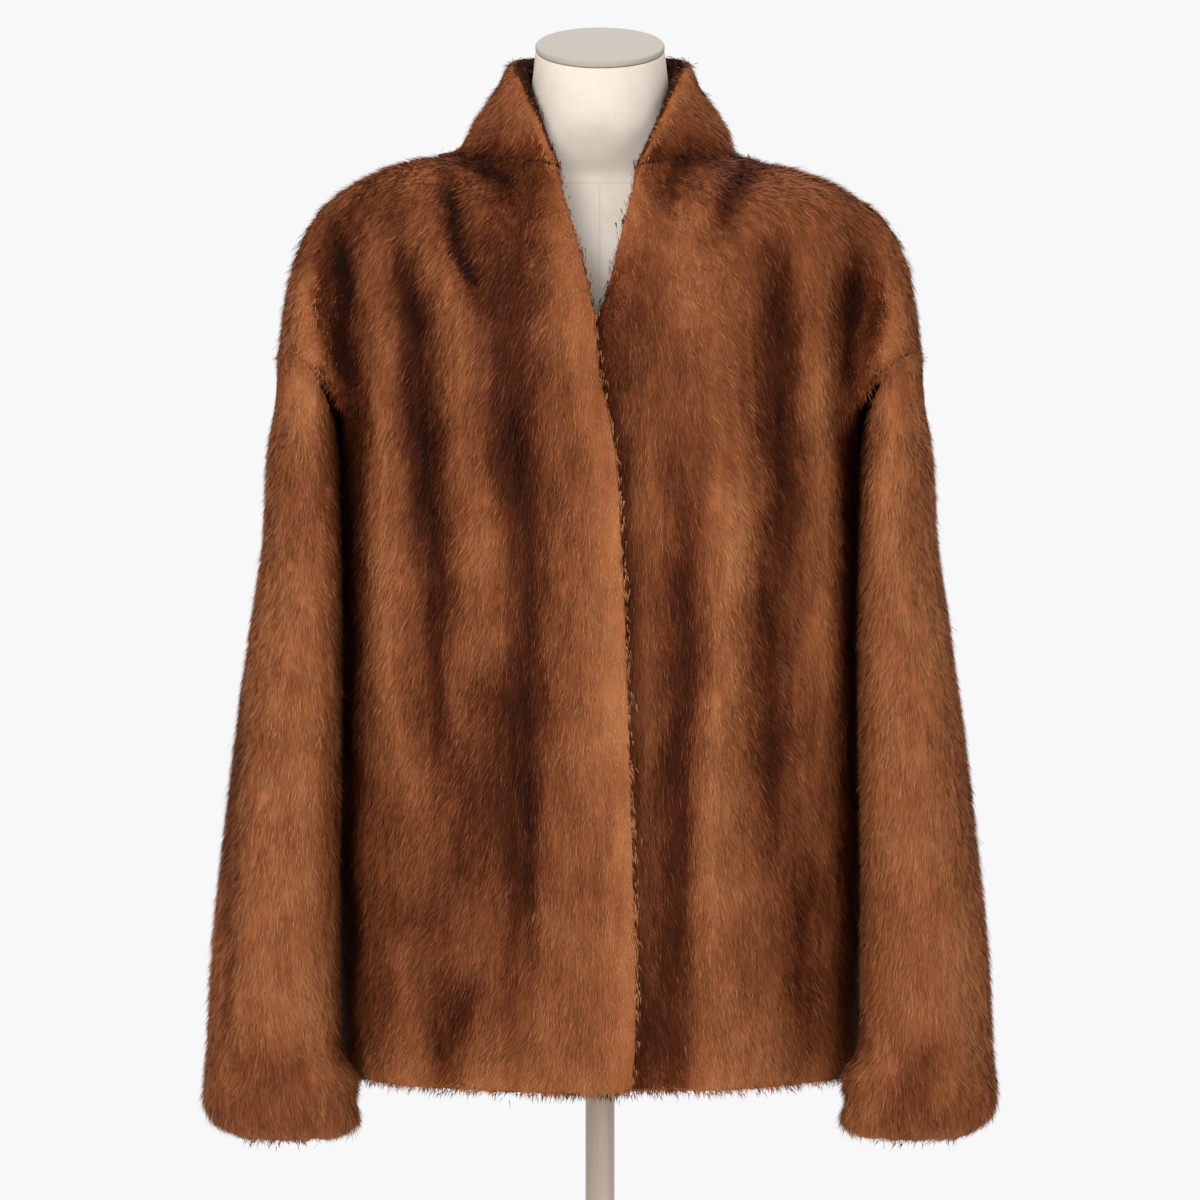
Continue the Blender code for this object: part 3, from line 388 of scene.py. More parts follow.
# %% Round the pelt and fold it
def smooth_pelt(mesh, seam, name):
    """Turns the grid back into quads and rounds it, with the seams kept where they are."""
    crease = mesh.edges.layers.float.new("crease_edge")
    for edge in mesh.edges:
        if all(seam[v.index] for v in edge.verts):
            edge[crease] = 1.0
    bmesh.ops.join_triangles(
        mesh,
        faces=mesh.faces,
        cmp_materials=True,
        angle_face_threshold=radians(60),
        angle_shape_threshold=radians(70),
    )
    data = bpy.data.meshes.new(name)
    mesh.to_mesh(data)
    mesh.free()
    pelt = bpy.data.objects.new(name, data)
    scene.collection.objects.link(pelt)
    rounder = pelt.modifiers.new("round", "SUBSURF")
    rounder.levels = rounder.render_levels = 1
    rounder.boundary_smooth = "PRESERVE_CORNERS"
    bpy.context.view_layer.update()
    depsgraph = bpy.context.evaluated_depsgraph_get()
    rounded = bpy.data.meshes.new_from_object(pelt.evaluated_get(depsgraph))
    pelt.modifiers.clear()
    old, pelt.data = pelt.data, rounded
    bpy.data.meshes.remove(old)
    rounded.name = name
    return pelt


CUFF_BULGE = 0.013  # the cuffs blouse over their gathers by this much
CUFF_BULGE_AT = 0.663
CUFF_BULGE_REACH = 0.014


def fold_pelt(name, data):
    """Sinks the pelt along its troughs and lifts it along its ridges."""
    p = np.empty(len(data.vertices) * 3)
    data.vertices.foreach_get("co", p)
    p = p.reshape(-1, 3)
    away = unit(p - inside_points(name, p))
    depth = folds_at(p, away)[0]
    if name.startswith("sleeve"):
        to_body = np.clip(-np.sign(p[:, 0]) * away[:, 0], 0, 1)
        at_gathers = np.exp(-(((p[:, 2] - CUFF_BULGE_AT) / CUFF_BULGE_REACH) ** 2))
        depth -= CUFF_BULGE * to_body * at_gathers
    if name != "collar":
        p -= away * depth[:, None]
        data.vertices.foreach_set("co", p.ravel())
    data.update()


# %% Make the pelts
pelts = {}
for name in CLOTH:
    mesh = solids[name]
    seam = on_seam(name)
    outer = sides_of(name, mesh, seam)
    draw_in(name, mesh, outer, seam)
    pelts[name] = smooth_pelt(mesh, seam, "pelt_" + name)
    fold_pelt(name, pelts[name].data)
    areas = np.zeros(4)
    for polygon in pelts[name].data.polygons:
        areas[polygon.material_index] += polygon.area
    faces = len(pelts[name].data.polygons)
    print(name, "outer, inner, seam and edge m2:", areas.round(4), "faces", faces)

# %% [markdown]
# ## Light and dark of the nap
# Pile closes up in a hollow, where little light gets in, and opens over a ridge, where its pale
# tips show. The nap's colour gets painted shade in a hollow and painted light over a ridge, and
# how far each point stands above the cloth around it tells the two apart.


# %% Relief of the cloth
def mesh_arrays(data):
    """Points, their normals without the seam rims, triangles and the kind of each triangle."""
    data.calc_loop_triangles()
    count = len(data.vertices)
    p = np.empty(count * 3)
    data.vertices.foreach_get("co", p)
    p = p.reshape(-1, 3)
    corners = np.empty(len(data.loop_triangles) * 3, int)
    data.loop_triangles.foreach_get("vertices", corners)
    owner = np.empty(len(data.loop_triangles), int)
    data.loop_triangles.foreach_get("polygon_index", owner)
    kinds = np.empty(len(data.polygons), int)
    data.polygons.foreach_get("material_index", kinds)
    corners, kinds = corners.reshape(-1, 3), kinds[owner]
    a, b, c = (p[corners[:, k]] for k in range(3))
    facing = np.cross(b - a, c - a) * (kinds != SEAM_RIM)[:, None]
    n = np.stack(
        [sum(np.bincount(corners[:, k], f, count) for k in range(3)) for f in facing.T], 1
    )
    return p, unit(n), corners, kinds


# %% One cloud of points for the whole coat
cloth_points, cloth_normals, cloth_areas = [], [], []
for name in CLOTH:
    for polygon in pelts[name].data.polygons:
        if polygon.material_index in (OUTER, EDGE_RIM):
            cloth_points.append(polygon.center)
            cloth_normals.append(polygon.normal)
            cloth_areas.append(polygon.area)
cloth_points, cloth_normals = np.array(cloth_points), np.array(cloth_normals)
cloth_areas = np.array(cloth_areas)
print("coat's furred side", round(cloth_areas.sum(), 3), "m2 in", len(cloth_areas), "faces")


def relief(p, n, reach):
    """How far points stand above (+) or below (-) the cloth within reach of them, in metres."""
    heights = []
    for k in range(0, len(p), 2000):
        q, m = p[k : k + 2000], n[k : k + 2000]
        squares = ((q**2).sum(1)[:, None] + (cloth_points**2).sum(1)) - 2 * q @ cloth_points.T
        weight = np.exp(-squares / (2 * reach**2)) * np.clip(m @ cloth_normals.T, 0, 1)
        weight *= cloth_areas
        middle = weight @ cloth_points / weight.sum(1, keepdims=True)
        heights.append(((q - middle) * m).sum(1))
    return np.concatenate(heights)


# %% [markdown]
# ## The pile
# The pile is grown in tufts, because fibres cling together. Each tuft takes a root on the pelt,
# a lean along the nap and a tone, and its strands vary a little around these. A strand is one
# long thin triangle, and one in ten is a longer guard hair of two triangles with a bend. They
# are made as arrays, because there are some 800,000 of them. A hair particle system would look
# alike here, but its strands wouldn't be exported as a mesh.

# %% Sizes of the pile
STRAND_LENGTH = 0.0082
STRAND_WIDTH = 0.00070  # some 20 fibres side by side: single ones are too thin to show
STRAND_RISE, RISE_SPREAD = radians(24), radians(8)  # how steeply strands leave the backing
ROOT_SUNK = 0.0006
TUFT_SPREAD = 0.0026
TUFT_SIZE = 6
TUFT_TONE = 0.05
STRAND_TONE = 0.08
GUARD_SHARE = 0.10
GUARD_LENGTH, GUARD_WIDTH = 1.25, 0.7  # times the other strands'
GUARD_BEND, GUARD_BEND_AT = 0.0007, 0.45
LENGTH_SPREAD, SHORTEST, LONGEST = 0.14, 0.6, 1.5  # times the length
TURN_SPREAD, ROLL_SPREAD = 0.13, 0.45  # radians: across the nap, and about the strand itself
THINNEST, WIDEST = 0.75, 1.25  # times the width
TUFT_CLOSES = 0.12  # how much the strands of a tuft lean together
EDGE_START, EDGE_REACH = 0.008, 0.022  # where the pile starts to change towards a free edge
EDGE_SHORTER, EDGE_FLATTER = 0.34, 0.35
EDGE_LEAN = 1.2  # how much the pile round an edge takes its light as the outer side does
COLLAR_FACING = 0.040  # how far down inside the collar is furred
GORGE_COVER, GORGE_REACH = 0.004, 0.007  # roots near the collar's seam start this much higher
AS_CLOTH, AS_BLADE = 0.85, 0.15  # how a strand is lit: as part of the surface, and as itself
STRANDS_PER_M2 = 600_000
RELIEF_REACH = 0.024  # folds narrower than about twice this are told from the cloth around


# %% Lie of the nap
NAP_OUT = {"sleeve": 0.30, "collar": 0.5, "body": 0.34}  # how far outwards for each step down
NAP_FRONT_AND_BACK, NAP_WANDER = 0.12, 0.20
SLEEVE_PARTING = 0.238  # the line down a sleeve that its nap leans away from


def nap_direction(name, p, n):
    """Which way the pile lies: down the cloth, and a little outwards from its middle."""
    x = p[:, 0]
    if name.startswith("sleeve"):
        middle = np.sign(x) * SLEEVE_PARTING
        out = NAP_OUT["sleeve"] * np.clip((x - middle) / 0.035, -1, 1)
    elif name == "collar":
        out = NAP_OUT["collar"] * np.sign(x)
    else:
        out = NAP_OUT["body"] * np.sign(x) * ease(np.abs(x) / 0.10)
    way = np.stack([out, NAP_FRONT_AND_BACK * np.sign(n[:, 1]), -np.ones(len(x))], 1)
    way = unit(way - (way * n).sum(1, keepdims=True) * n)
    turn = NAP_WANDER * waves(p, 5)[:, None]
    return unit(way + turn * np.cross(n, way))


# %% Tone of the nap
def seam_tree(names):
    """Middles of the pieces' seam faces, to find how far a point is from them."""
    found = []
    for name in names:
        data = pelts[name].data
        found += [f.center.copy() for f in data.polygons if f.material_index == SEAM_RIM]
    return tree_of(found)


armhole = seam_tree(["sleeve_right", "sleeve_left"])
gorge = seam_tree(["collar"])
# painted light along the free edges, where the pile rolls round them
EDGE_PAINTED_LIGHT = {"front": 0.26, "back": 0.06, "collar": 0.22, "sleeve": 0.08}
BASE_TONE = {"front": -0.10, "back": -0.08, "collar": -0.15, "sleeve": 0.01}
SEAM_SHADE = 0.0045  # half the width of the dark line along the armhole
SEAM_TONE = 0.30
# painted shade in hollows and painted light on ridges, as much as the relief gives
RELIEF_PAINTED_LIGHT_AND_SHADE, RELIEF_FULL = 0.28, 0.0040  # most tone from relief, and the relief that gives it
DYE_TONE = 0.07  # unevenness of the dye
TURNED_TONE = 0.75  # pile that is turned in lies in shade
CUFF_TONE, CUFF_TOP, CUFF_FOOT = 0.10, 0.70, 0.620  # the cuffs are a little darker


def nap_tone_with_painted_light(name, p, n, lift, edge):
    """How light or dark the nap is at points, from -1 to 1, its painted light and shade included."""
    away = unit(p - inside_points(name, p))
    kind = name.split("_")[0]
    # relief and folds: painted shade in hollows and troughs, painted light on ridges
    tone = np.clip(lift / RELIEF_FULL, -1, 1) * RELIEF_PAINTED_LIGHT_AND_SHADE + folds_at(p, away)[1]
    tone += DYE_TONE * waves(p, 8, (0.12, 0.07, 0.03)) + BASE_TONE[kind]
    # painted light along the free edges
    tone += EDGE_PAINTED_LIGHT[kind] * edge
    tone -= TURNED_TONE * ease((0.45 - (n * away).sum(1)) / 0.7)
    if name.startswith("sleeve"):
        tone -= CUFF_TONE * ease((CUFF_TOP - p[:, 2]) / 0.05) * ease((p[:, 2] - CUFF_FOOT) / 0.015)
    if name != "collar":
        seam = np.array([armhole.find(q)[2] for q in p])
        tone -= SEAM_TONE * np.exp(-((seam / SEAM_SHADE) ** 2))
    return tone


# %% Where a piece is furred
def furred_faces(name, p, corners, kinds, keep):
    """The triangles that pile grows on, and how far each is from a free edge."""
    middle = p[corners].mean(1)
    free = tree_of(middle[kinds == EDGE_RIM])
    reach = np.array([free.find(c)[2] for c in middle])
    facing = COLLAR_FACING if name == "collar" else FACING_REACH * 0.8
    furred = ((kinds != INNER) | (reach < facing)) & (kinds != SEAM_RIM)
    if keep is not None:
        furred &= keep(middle)
    return corners[furred], reach[furred]


def shade_pelt(data, tones):
    """Gives a pelt the tones of its nap, with their painted light and shade, so that it has the
    colour of the pile on it.
    """
    if "shade" not in data.attributes:
        data.attributes.new("shade", "FLOAT", "POINT").data.foreach_set("value", tones)


# %% Roots of the tufts
def tuft_roots(name, pelt, draw, keep):
    """Each tuft's root, normal, height above the cloth around it and nearness to a free edge."""
    p, n, corners, kinds = mesh_arrays(pelt.data)
    height = relief(p, n, RELIEF_REACH)
    shade_pelt(pelt.data, nap_tone_with_painted_light(name, p, n, height, 0 * height))
    corners, reach = furred_faces(name, p, corners, kinds, keep)
    a, b, c = (p[corners[:, k]] for k in range(3))
    area = np.linalg.norm(np.cross(b - a, c - a), axis=1) / 2
    tufts = int(area.sum() * STRANDS_PER_M2 / TUFT_SIZE)
    chosen = draw.choice(len(area), tufts, p=area / area.sum())
    u, v = draw.random((2, tufts))
    u, v = np.where(u + v > 1, 1 - u, u), np.where(u + v > 1, 1 - v, v)
    share = np.stack([1 - u - v, u, v], 1)
    root = (p[corners[chosen]] * share[..., None]).sum(1)
    normal = unit((n[corners[chosen]] * share[..., None]).sum(1))
    lift = (height[corners[chosen]] * share).sum(1)
    return root, normal, lift, 1 - ease((reach[chosen] - EDGE_START) / EDGE_REACH)


# %% Strands of the tufts
def strands(name, pelt, seed, keep=None):
    """Arrays for the pile of a piece: triangles as (count, 3, 3), their normals and shades."""
    draw = np.random.default_rng(seed)
    root, normal, lift, edge = tuft_roots(name, pelt, draw, keep)
    tufts = len(root)
    nap = nap_direction(name, root, normal)
    across = np.cross(normal, nap)
    tone = nap_tone_with_painted_light(name, root, normal, lift, edge) + TUFT_TONE * draw.normal(size=tufts)
    to_gorge = np.array([gorge.find(q)[2] for q in root])
    own = np.repeat(np.arange(tufts), TUFT_SIZE)
    count = len(own)
    root, normal, nap, across, tone, edge, to_gorge = (
        w[own] for w in (root, normal, nap, across, tone, edge, to_gorge)
    )

    guard = (draw.random(count) < GUARD_SHARE) & (edge < 0.7)  # none stands out of an edge
    side, along = draw.normal(0, TUFT_SPREAD, (2, count))
    length = STRAND_LENGTH * draw.normal(1, LENGTH_SPREAD, count).clip(SHORTEST, LONGEST)
    length *= np.where(guard, GUARD_LENGTH, 1) * (1 - EDGE_SHORTER * edge)
    rise = (STRAND_RISE + RISE_SPREAD * draw.normal(size=count)) * (1 - EDGE_FLATTER * edge)
    turn = draw.normal(0, TURN_SPREAD, count)
    roll = draw.normal(0, ROLL_SPREAD, count)
    start = root + across * side[:, None] + nap * along[:, None] - normal * ROOT_SUNK
    if name != "collar" and not name.startswith("sleeve"):  # pile covers the collar's seam
        start -= nap * (GORGE_COVER * np.exp(-((to_gorge / GORGE_REACH) ** 2)))[:, None]
    way = unit(
        nap * np.cos(rise)[:, None]
        + normal * np.sin(rise)[:, None]
        + across * (turn - TUFT_CLOSES * side / STRAND_LENGTH)[:, None]
    )
    tip = start + way * length[:, None]
    wide = across * np.cos(roll)[:, None] + normal * np.sin(roll)[:, None]
    half = STRAND_WIDTH / 2 * draw.uniform(THINNEST, WIDEST, count)
    half *= np.where(guard, GUARD_WIDTH, 1)
    wide *= half[:, None]

    plain = ~guard
    one = np.stack([start + wide, start - wide, tip], 1)[plain]
    bend = start + way * (length * GUARD_BEND_AT)[:, None] + normal * GUARD_BEND
    two = np.stack([start, bend - wide, bend + wide], 1)[guard]
    three = np.stack([bend + wide, bend - wide, tip], 1)[guard]
    triangles = np.concatenate([one, two, three])
    shade = tone + STRAND_TONE * draw.normal(size=count)
    outward = unit(root - inside_points(name, root))
    turned_over = (normal * outward).sum(1) > -0.5
    normal = unit(normal + (EDGE_LEAN * edge * turned_over)[:, None] * outward)
    return paint_strands(triangles, normal, shade, plain, guard)


# %% Shades and normals of the strands
def paint_strands(triangles, normal, shade, plain, guard):
    """Adds each corner's tone, how near the tip it is, and whether it is on a guard hair."""
    bend = GUARD_BEND_AT
    parts = [(plain, (0.0, 0.0, 1.0)), (guard, (0.0, bend, bend)), (guard, (bend, bend, 1.0))]
    shades = np.concatenate([np.broadcast_to(shade[m][:, None], (m.sum(), 3)) for m, _ in parts])
    tips = np.concatenate([np.broadcast_to(np.array(t), (m.sum(), 3)) for m, t in parts])
    guards = np.concatenate([np.full((m.sum(), 3), float(k > 0)) for k, (m, _) in enumerate(parts)])
    up = np.concatenate([normal[m] for m, _ in parts])
    flat = np.cross(triangles[:, 1] - triangles[:, 0], triangles[:, 2] - triangles[:, 0])
    back_to_front = (flat * up).sum(1) < 0
    triangles[back_to_front] = triangles[back_to_front][:, [1, 0, 2]]
    tips[back_to_front] = tips[back_to_front][:, [1, 0, 2]]
    flat = unit(np.where(back_to_front[:, None], -flat, flat))
    normals = unit(AS_CLOTH * up + AS_BLADE * flat)
    return triangles, normals, shades, tips, guards


# %% A mesh of the strands
def pile_mesh(name, arrays):
    """One joined mesh of all strands, with its shades and a place for each on the bake map."""
    triangles, normals, shades, tips, guards = arrays
    count = len(triangles)
    data = bpy.data.meshes.new(name)
    data.vertices.add(count * 3)
    data.vertices.foreach_set("co", triangles.ravel())
    data.loops.add(count * 3)
    data.loops.foreach_set("vertex_index", np.arange(count * 3))
    data.polygons.add(count)
    data.polygons.foreach_set("loop_start", np.arange(count) * 3)
    data.polygons.foreach_set("loop_total", np.full(count, 3))
    data.polygons.foreach_set("use_smooth", np.full(count, True))
    for label, values in (("shade", shades), ("tip", tips), ("guard", guards)):
        data.attributes.new(label, "FLOAT", "POINT").data.foreach_set("value", values.ravel())
    cells = int(np.ceil(np.sqrt((count + 1) // 2)))  # two triangles share a square of the map
    cell, upper = np.divmod(np.arange(count), 2)
    lower_left = [(0.08, 0.08), (0.80, 0.08), (0.08, 0.80)]
    upper_right = [(0.92, 0.92), (0.20, 0.92), (0.92, 0.20)]
    corner = np.array([lower_left, upper_right])[upper]
    square = np.stack([cell % cells, cell // cells], 1)[:, None, :]
    uv = (corner + square) / cells
    data.uv_layers.new(name="OFBake").data.foreach_set("uv", uv.ravel())
    data.update()
    data.validate()
    data.normals_split_custom_set_from_vertices(np.repeat(normals, 3, axis=0))
    obj = bpy.data.objects.new(name, data)
    scene.collection.objects.link(obj)
    return obj


# %% Grow it on every piece
# The back's pile is made as two pieces, because as one it would have too many triangles.
HALVES = {"_right": lambda p: p[:, 0] < 0, "_left": lambda p: p[:, 0] >= 0}
piles = {}
for seed, name in enumerate(CLOTH):
    piles[name] = []
    halves = HALVES if name == "back" else {"": None}
    for k, (suffix, keep) in enumerate(halves.items()):
        arrays = strands(name, pelts[name], 100 + 10 * seed + k, keep)
        pile = pile_mesh("pile_" + name + suffix, arrays)
        piles[name].append(pile)
        print(pile.name, len(pile.data.polygons), "triangles")

# %% [markdown]
# ## Fur and backing
# Modacrylic is the usual fibre of faux fur. It is spun, dyed through and finished with heat,
# which leaves it soft and slippery: the eye gets a deep, even brown with hardly a highlight, and
# a faint sheen where it looks along the fibres. The tone that each strand carries, with its
# painted light and shade, picks its colour from one row of browns, from the dark roots to the
# pale guard hairs. Two noises add what no fold makes: patches of dye a few centimetres wide,
# and locks of fibre about 8 mm wide and five times as long, which give mink its streaks.

# %% Browns of the fur
BROWNS = [(0.0, "#280e04"), (0.30, "#5a2912"), (0.60, "#965733"), (1.0, "#c68656")]
DARKEST, LIGHTEST = -0.15, 1.35  # tones at both ends of the browns
DYE_PATCHES = {"Scale": 22, "Detail": 3}
LOCKS = {"Scale": 130, "Detail": 2}


def stretched_noise(tree, stretch, values):
    """A noise on object coordinates, drawn out along the upright."""
    at = add_node(tree, "ShaderNodeTexCoord")
    flow = add_node(
        tree, "ShaderNodeMapping", {"Vector": at.outputs["Object"]}, {"Scale": (1, 1, stretch)}
    )
    return add_node(tree, "ShaderNodeTexNoise", {"Vector": flow.outputs[0]}, values)


def ramp_of(tree, value, colours):
    """A colour ramp through (position, sRGB hex) pairs."""
    ramp = add_node(tree, "ShaderNodeValToRGB", {"Fac": value})
    first, *between, last = colours
    for element, (position, colour) in zip(ramp.color_ramp.elements, (first, last)):
        element.position, element.color = position, linear(colour)
    for position, colour in between:
        ramp.color_ramp.elements.new(position).color = linear(colour)
    return ramp


def dyed_by_tone(tree, shader, extra):
    """Colours a material by the tone of the nap with its painted light and shade, patches of dye,
    locks and what else is added.
    """
    shade = add_node(tree, "ShaderNodeAttribute", attribute_name="shade")
    total = shade.outputs["Fac"]
    for stretch, values, low, high in ((0.4, DYE_PATCHES, 0.28, 0.72), (0.2, LOCKS, -0.26, 0.26)):
        noise = stretched_noise(tree, stretch, values)
        part = add_node(
            tree, "ShaderNodeMapRange", {"Value": noise.outputs["Fac"]},
            {"To Min": low, "To Max": high},
        )
        total = add_node(
            tree, "ShaderNodeMath", {0: total, 1: part.outputs[0]}, operation="ADD"
        ).outputs[0]
    for output, share in extra:
        part = add_node(tree, "ShaderNodeMath", {0: output}, {1: share}, operation="MULTIPLY")
        total = add_node(
            tree, "ShaderNodeMath", {0: total, 1: part.outputs[0]}, operation="ADD"
        ).outputs[0]
    spread = add_node(
        tree, "ShaderNodeMapRange", {"Value": total}, {"From Min": DARKEST, "From Max": LIGHTEST}
    )
    ramp = ramp_of(tree, spread.outputs[0], BROWNS)
    tree.links.new(ramp.outputs[0], shader.inputs["Base Color"])


# %% The pile
# The tips look a little paler than the roots, and guard hairs paler and coarser than the rest.
pile_material, tree, shader = new_material(
    "dyed_modacrylic_pile",
    Roughness=0.62,
    Specular_IOR_Level=0.1,
    Sheen_Weight=0.06,
    Sheen_Roughness=0.5,
    Sheen_Tint=linear("#d89a70"),
)
tip = add_node(tree, "ShaderNodeAttribute", attribute_name="tip")
guard = add_node(tree, "ShaderNodeAttribute", attribute_name="guard")
dyed_by_tone(tree, shader, [(tip.outputs["Fac"], 0.16), (guard.outputs["Fac"], 0.18)])
print(pile_material.name, len(tree.nodes), "nodes")

# %% The roots, seen between the strands
# Close pile with no sheen: it only keeps gaps between strands from showing another colour.
root_material, tree, shader = new_material(
    "pile_roots_on_backing", Roughness=0.9, Specular_IOR_Level=0.05
)
grain = stretched_noise(tree, 0.25, {"Scale": 700, "Detail": 2})
dyed_by_tone(tree, shader, [(grain.outputs["Fac"], 0.12)])
print(root_material.name, len(tree.nodes), "nodes")

# %% The inside
# The backing is a warp-knitted polyester. The eye gets dull brown wales, 2 mm apart as drawn,
# because its real ones, under 1 mm apart, wouldn't show.
backing_material, tree, shader = new_material(
    "knitted_backing", Roughness=0.95, Specular_IOR_Level=0.15
)
at = add_node(tree, "ShaderNodeTexCoord")
knit = add_node(
    tree, "ShaderNodeTexWave", {"Vector": at.outputs["Object"]}, {"Scale": 160, "Distortion": 2}
)
ramp = ramp_of(tree, knit.outputs["Fac"], [(0.0, "#4b2a1a"), (1.0, "#6d4229")])
tree.links.new(ramp.outputs[0], shader.inputs["Base Color"])
print(backing_material.name, len(tree.nodes), "nodes")

# %% Dress the cloth
for name in CLOTH:
    pelt = pelts[name]
    pelt.data.materials.clear()
    for made in (root_material, backing_material, root_material, root_material):
        pelt.data.materials.append(made)
    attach(pelt, "root")
    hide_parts(name)
    for pile in piles[name]:
        pile.data.materials.append(pile_material)
        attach(pile, "root")

# %% [markdown]
# ## The form and its stand
# The form is a moulded shell in a fitted linen cover, with a cap on its neck. Its solid has few
# faces, so a rounded copy stands for it, with its sharp edges bevelled first, because a
# subdivision surface alone would melt them. The pole and the foot are turned metal: a profile
# spun round the upright gives them true circles.

# %% Rounded copies
EDGE_RADIUS = 0.0010
SHARP = radians(38)  # edges that turn more than this are bevelled
SMOOTHINGS = 6


def stand_for(piece, name):
    """Makes a piece ride on the one body in the place of a solid."""
    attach(piece, "root")
    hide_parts(name)


def rounded_copy(name, piece_name, levels, smoothed=None):
    """A smooth copy of a solid: small bevels on its sharp edges, then subdivision.

    smoothed is a range of heights where the copy is first smoothed, from low to high.
    """
    mesh = merged_copy(name)
    bmesh.ops.join_triangles(
        mesh, faces=mesh.faces, angle_face_threshold=radians(30), angle_shape_threshold=radians(80)
    )
    if smoothed:
        low, high = smoothed
        for _ in range(SMOOTHINGS):
            between = [v for v in mesh.verts if low < v.co.z < high]
            bmesh.ops.smooth_vert(
                mesh, verts=between, factor=0.5, use_axis_x=True, use_axis_y=True, use_axis_z=True
            )
    sharp = [e for e in mesh.edges if e.calc_face_angle(0) > SHARP]
    bmesh.ops.bevel(
        mesh, geom=sharp, offset=EDGE_RADIUS, segments=3, profile=0.5, affect="EDGES", material=-1
    )
    for f in mesh.faces:
        f.smooth = True
    data = bpy.data.meshes.new(piece_name)
    mesh.to_mesh(data)
    mesh.free()
    piece = bpy.data.objects.new(piece_name, data)
    scene.collection.objects.link(piece)
    rounder = piece.modifiers.new("round", "SUBSURF")
    rounder.levels = rounder.render_levels = levels
    stand_for(piece, name)
    print(piece_name, len(sharp), "sharp edges,", len(data.polygons), "faces before subdivision")
    return piece


# %% Turned pieces
def turned(name, piece_name, profile, steps):
    """A profile of (radius, height) spun round the upright."""
    mesh = bmesh.new()
    points = [mesh.verts.new((r, 0, z)) for r, z in profile]
    line = [mesh.edges.new(pair) for pair in zip(points, points[1:])]
    bmesh.ops.spin(
        mesh, geom=points + line, cent=(0, 0, 0), axis=(0, 0, 1), angle=2 * pi, steps=steps,
        use_merge=True,
    )
    bmesh.ops.remove_doubles(mesh, verts=mesh.verts, dist=1e-6)
    bmesh.ops.recalc_face_normals(mesh, faces=mesh.faces)
    for f in mesh.faces:
        f.smooth = True
    for edge in mesh.edges:
        edge.smooth = edge.calc_face_angle(0) < radians(28)
    data = bpy.data.meshes.new(piece_name)
    mesh.to_mesh(data)
    mesh.free()
    piece = bpy.data.objects.new(piece_name, data)
    scene.collection.objects.link(piece)
    stand_for(piece, name)
    print(piece_name, len(data.polygons), "faces")
    return piece


# %% Make the form and the stand
# The form's neck runs into its chest without a step, so that stretch is smoothed.
form = rounded_copy("dress_form", "form_cover", 1, smoothed=(1.285, 1.365))
cap = rounded_copy("neck_cap", "cap_of_form", 1)
pole = turned("pole", "upright_tube", [
    (0, 0.0063), (0.0110, 0.0063), (0.0110, 0.6900), (0.0125, 0.6915), (0.0160, 0.6940),
    (0.0470, 0.7045), (0.0492, 0.7060), (0.0500, 0.7080), (0.0500, 0.7117), (0, 0.7117),
], 72)
foot = turned("base", "round_foot", [
    (0, 0.0), (0.1788, 0.0), (0.1796, 0.0003), (0.1800, 0.0012), (0.1800, 0.0050), (0.1794, 0.0066),
    (0.1782, 0.0076), (0.1765, 0.0080), (0.0310, 0.0090), (0.0275, 0.0096), (0.0250, 0.0112),
    (0.0240, 0.0135), (0.0240, 0.0318), (0.0235, 0.0332), (0.0222, 0.0340), (0.0113, 0.0340),
    (0.0113, 0.0060), (0, 0.0060),
], 144)

# %% [markdown]
# ## Linen and lacquered steel
# A form is covered in linen, because pins hold in it. Its plain weave gives the eye a matt,
# faintly uneven cream, with slubs where the yarn is thicker. A seam runs round the base of the
# neck and another down the middle of the front. They are thin dark lines with a dip.

# %% Pattern of a seam
THREAD = 0.0016  # as drawn; the real yarns are 0.5 mm apart, too close to show
NECK_SEAM, NECK_SEAM_TILT = 1.3390, -0.22  # its height in the middle, and how it rises forward
NECK_SEAM_WIDTH, FRONT_SEAM_WIDTH = 0.0010, 0.0009


def seam_line(tree, height, middle, width):
    """1 where a value is within width of middle, falling to 0 beside it."""
    off = add_node(tree, "ShaderNodeMath", {0: height}, {1: -middle}, operation="ADD")
    near = add_node(tree, "ShaderNodeMath", {0: off.outputs[0]}, operation="ABSOLUTE")
    return add_node(
        tree, "ShaderNodeMapRange", {"Value": near.outputs[0]},
        {"From Min": 0.0, "From Max": width, "To Min": 1.0, "To Max": 0.0},
    ).outputs[0]


# %% Weave of the cover
material, tree, shader = new_material("plain_weave_linen", Roughness=0.85, Specular_IOR_Level=0.2)
at = add_node(tree, "ShaderNodeTexCoord")
threads = []
for direction in ("X", "Z"):  # warp and weft
    wave = add_node(
        tree, "ShaderNodeTexWave", {"Vector": at.outputs["Object"]},
        {"Scale": 2 * pi / THREAD / 20, "Distortion": 1.5, "Detail": 2},
        bands_direction=direction,
    )
    threads.append(wave.outputs["Fac"])
weave = add_node(tree, "ShaderNodeMath", {0: threads[0], 1: threads[1]}, operation="MULTIPLY")
slub = add_node(
    tree, "ShaderNodeTexNoise", {"Vector": at.outputs["Object"]}, {"Scale": 60, "Detail": 4}
)
body = add_node(
    tree, "ShaderNodeMath", {0: weave.outputs[0], 1: slub.outputs["Fac"]}, operation="ADD"
)
linen = ramp_of(tree, body.outputs[0], [(0.0, "#d2c3b4"), (1.0, "#e6dbce")])

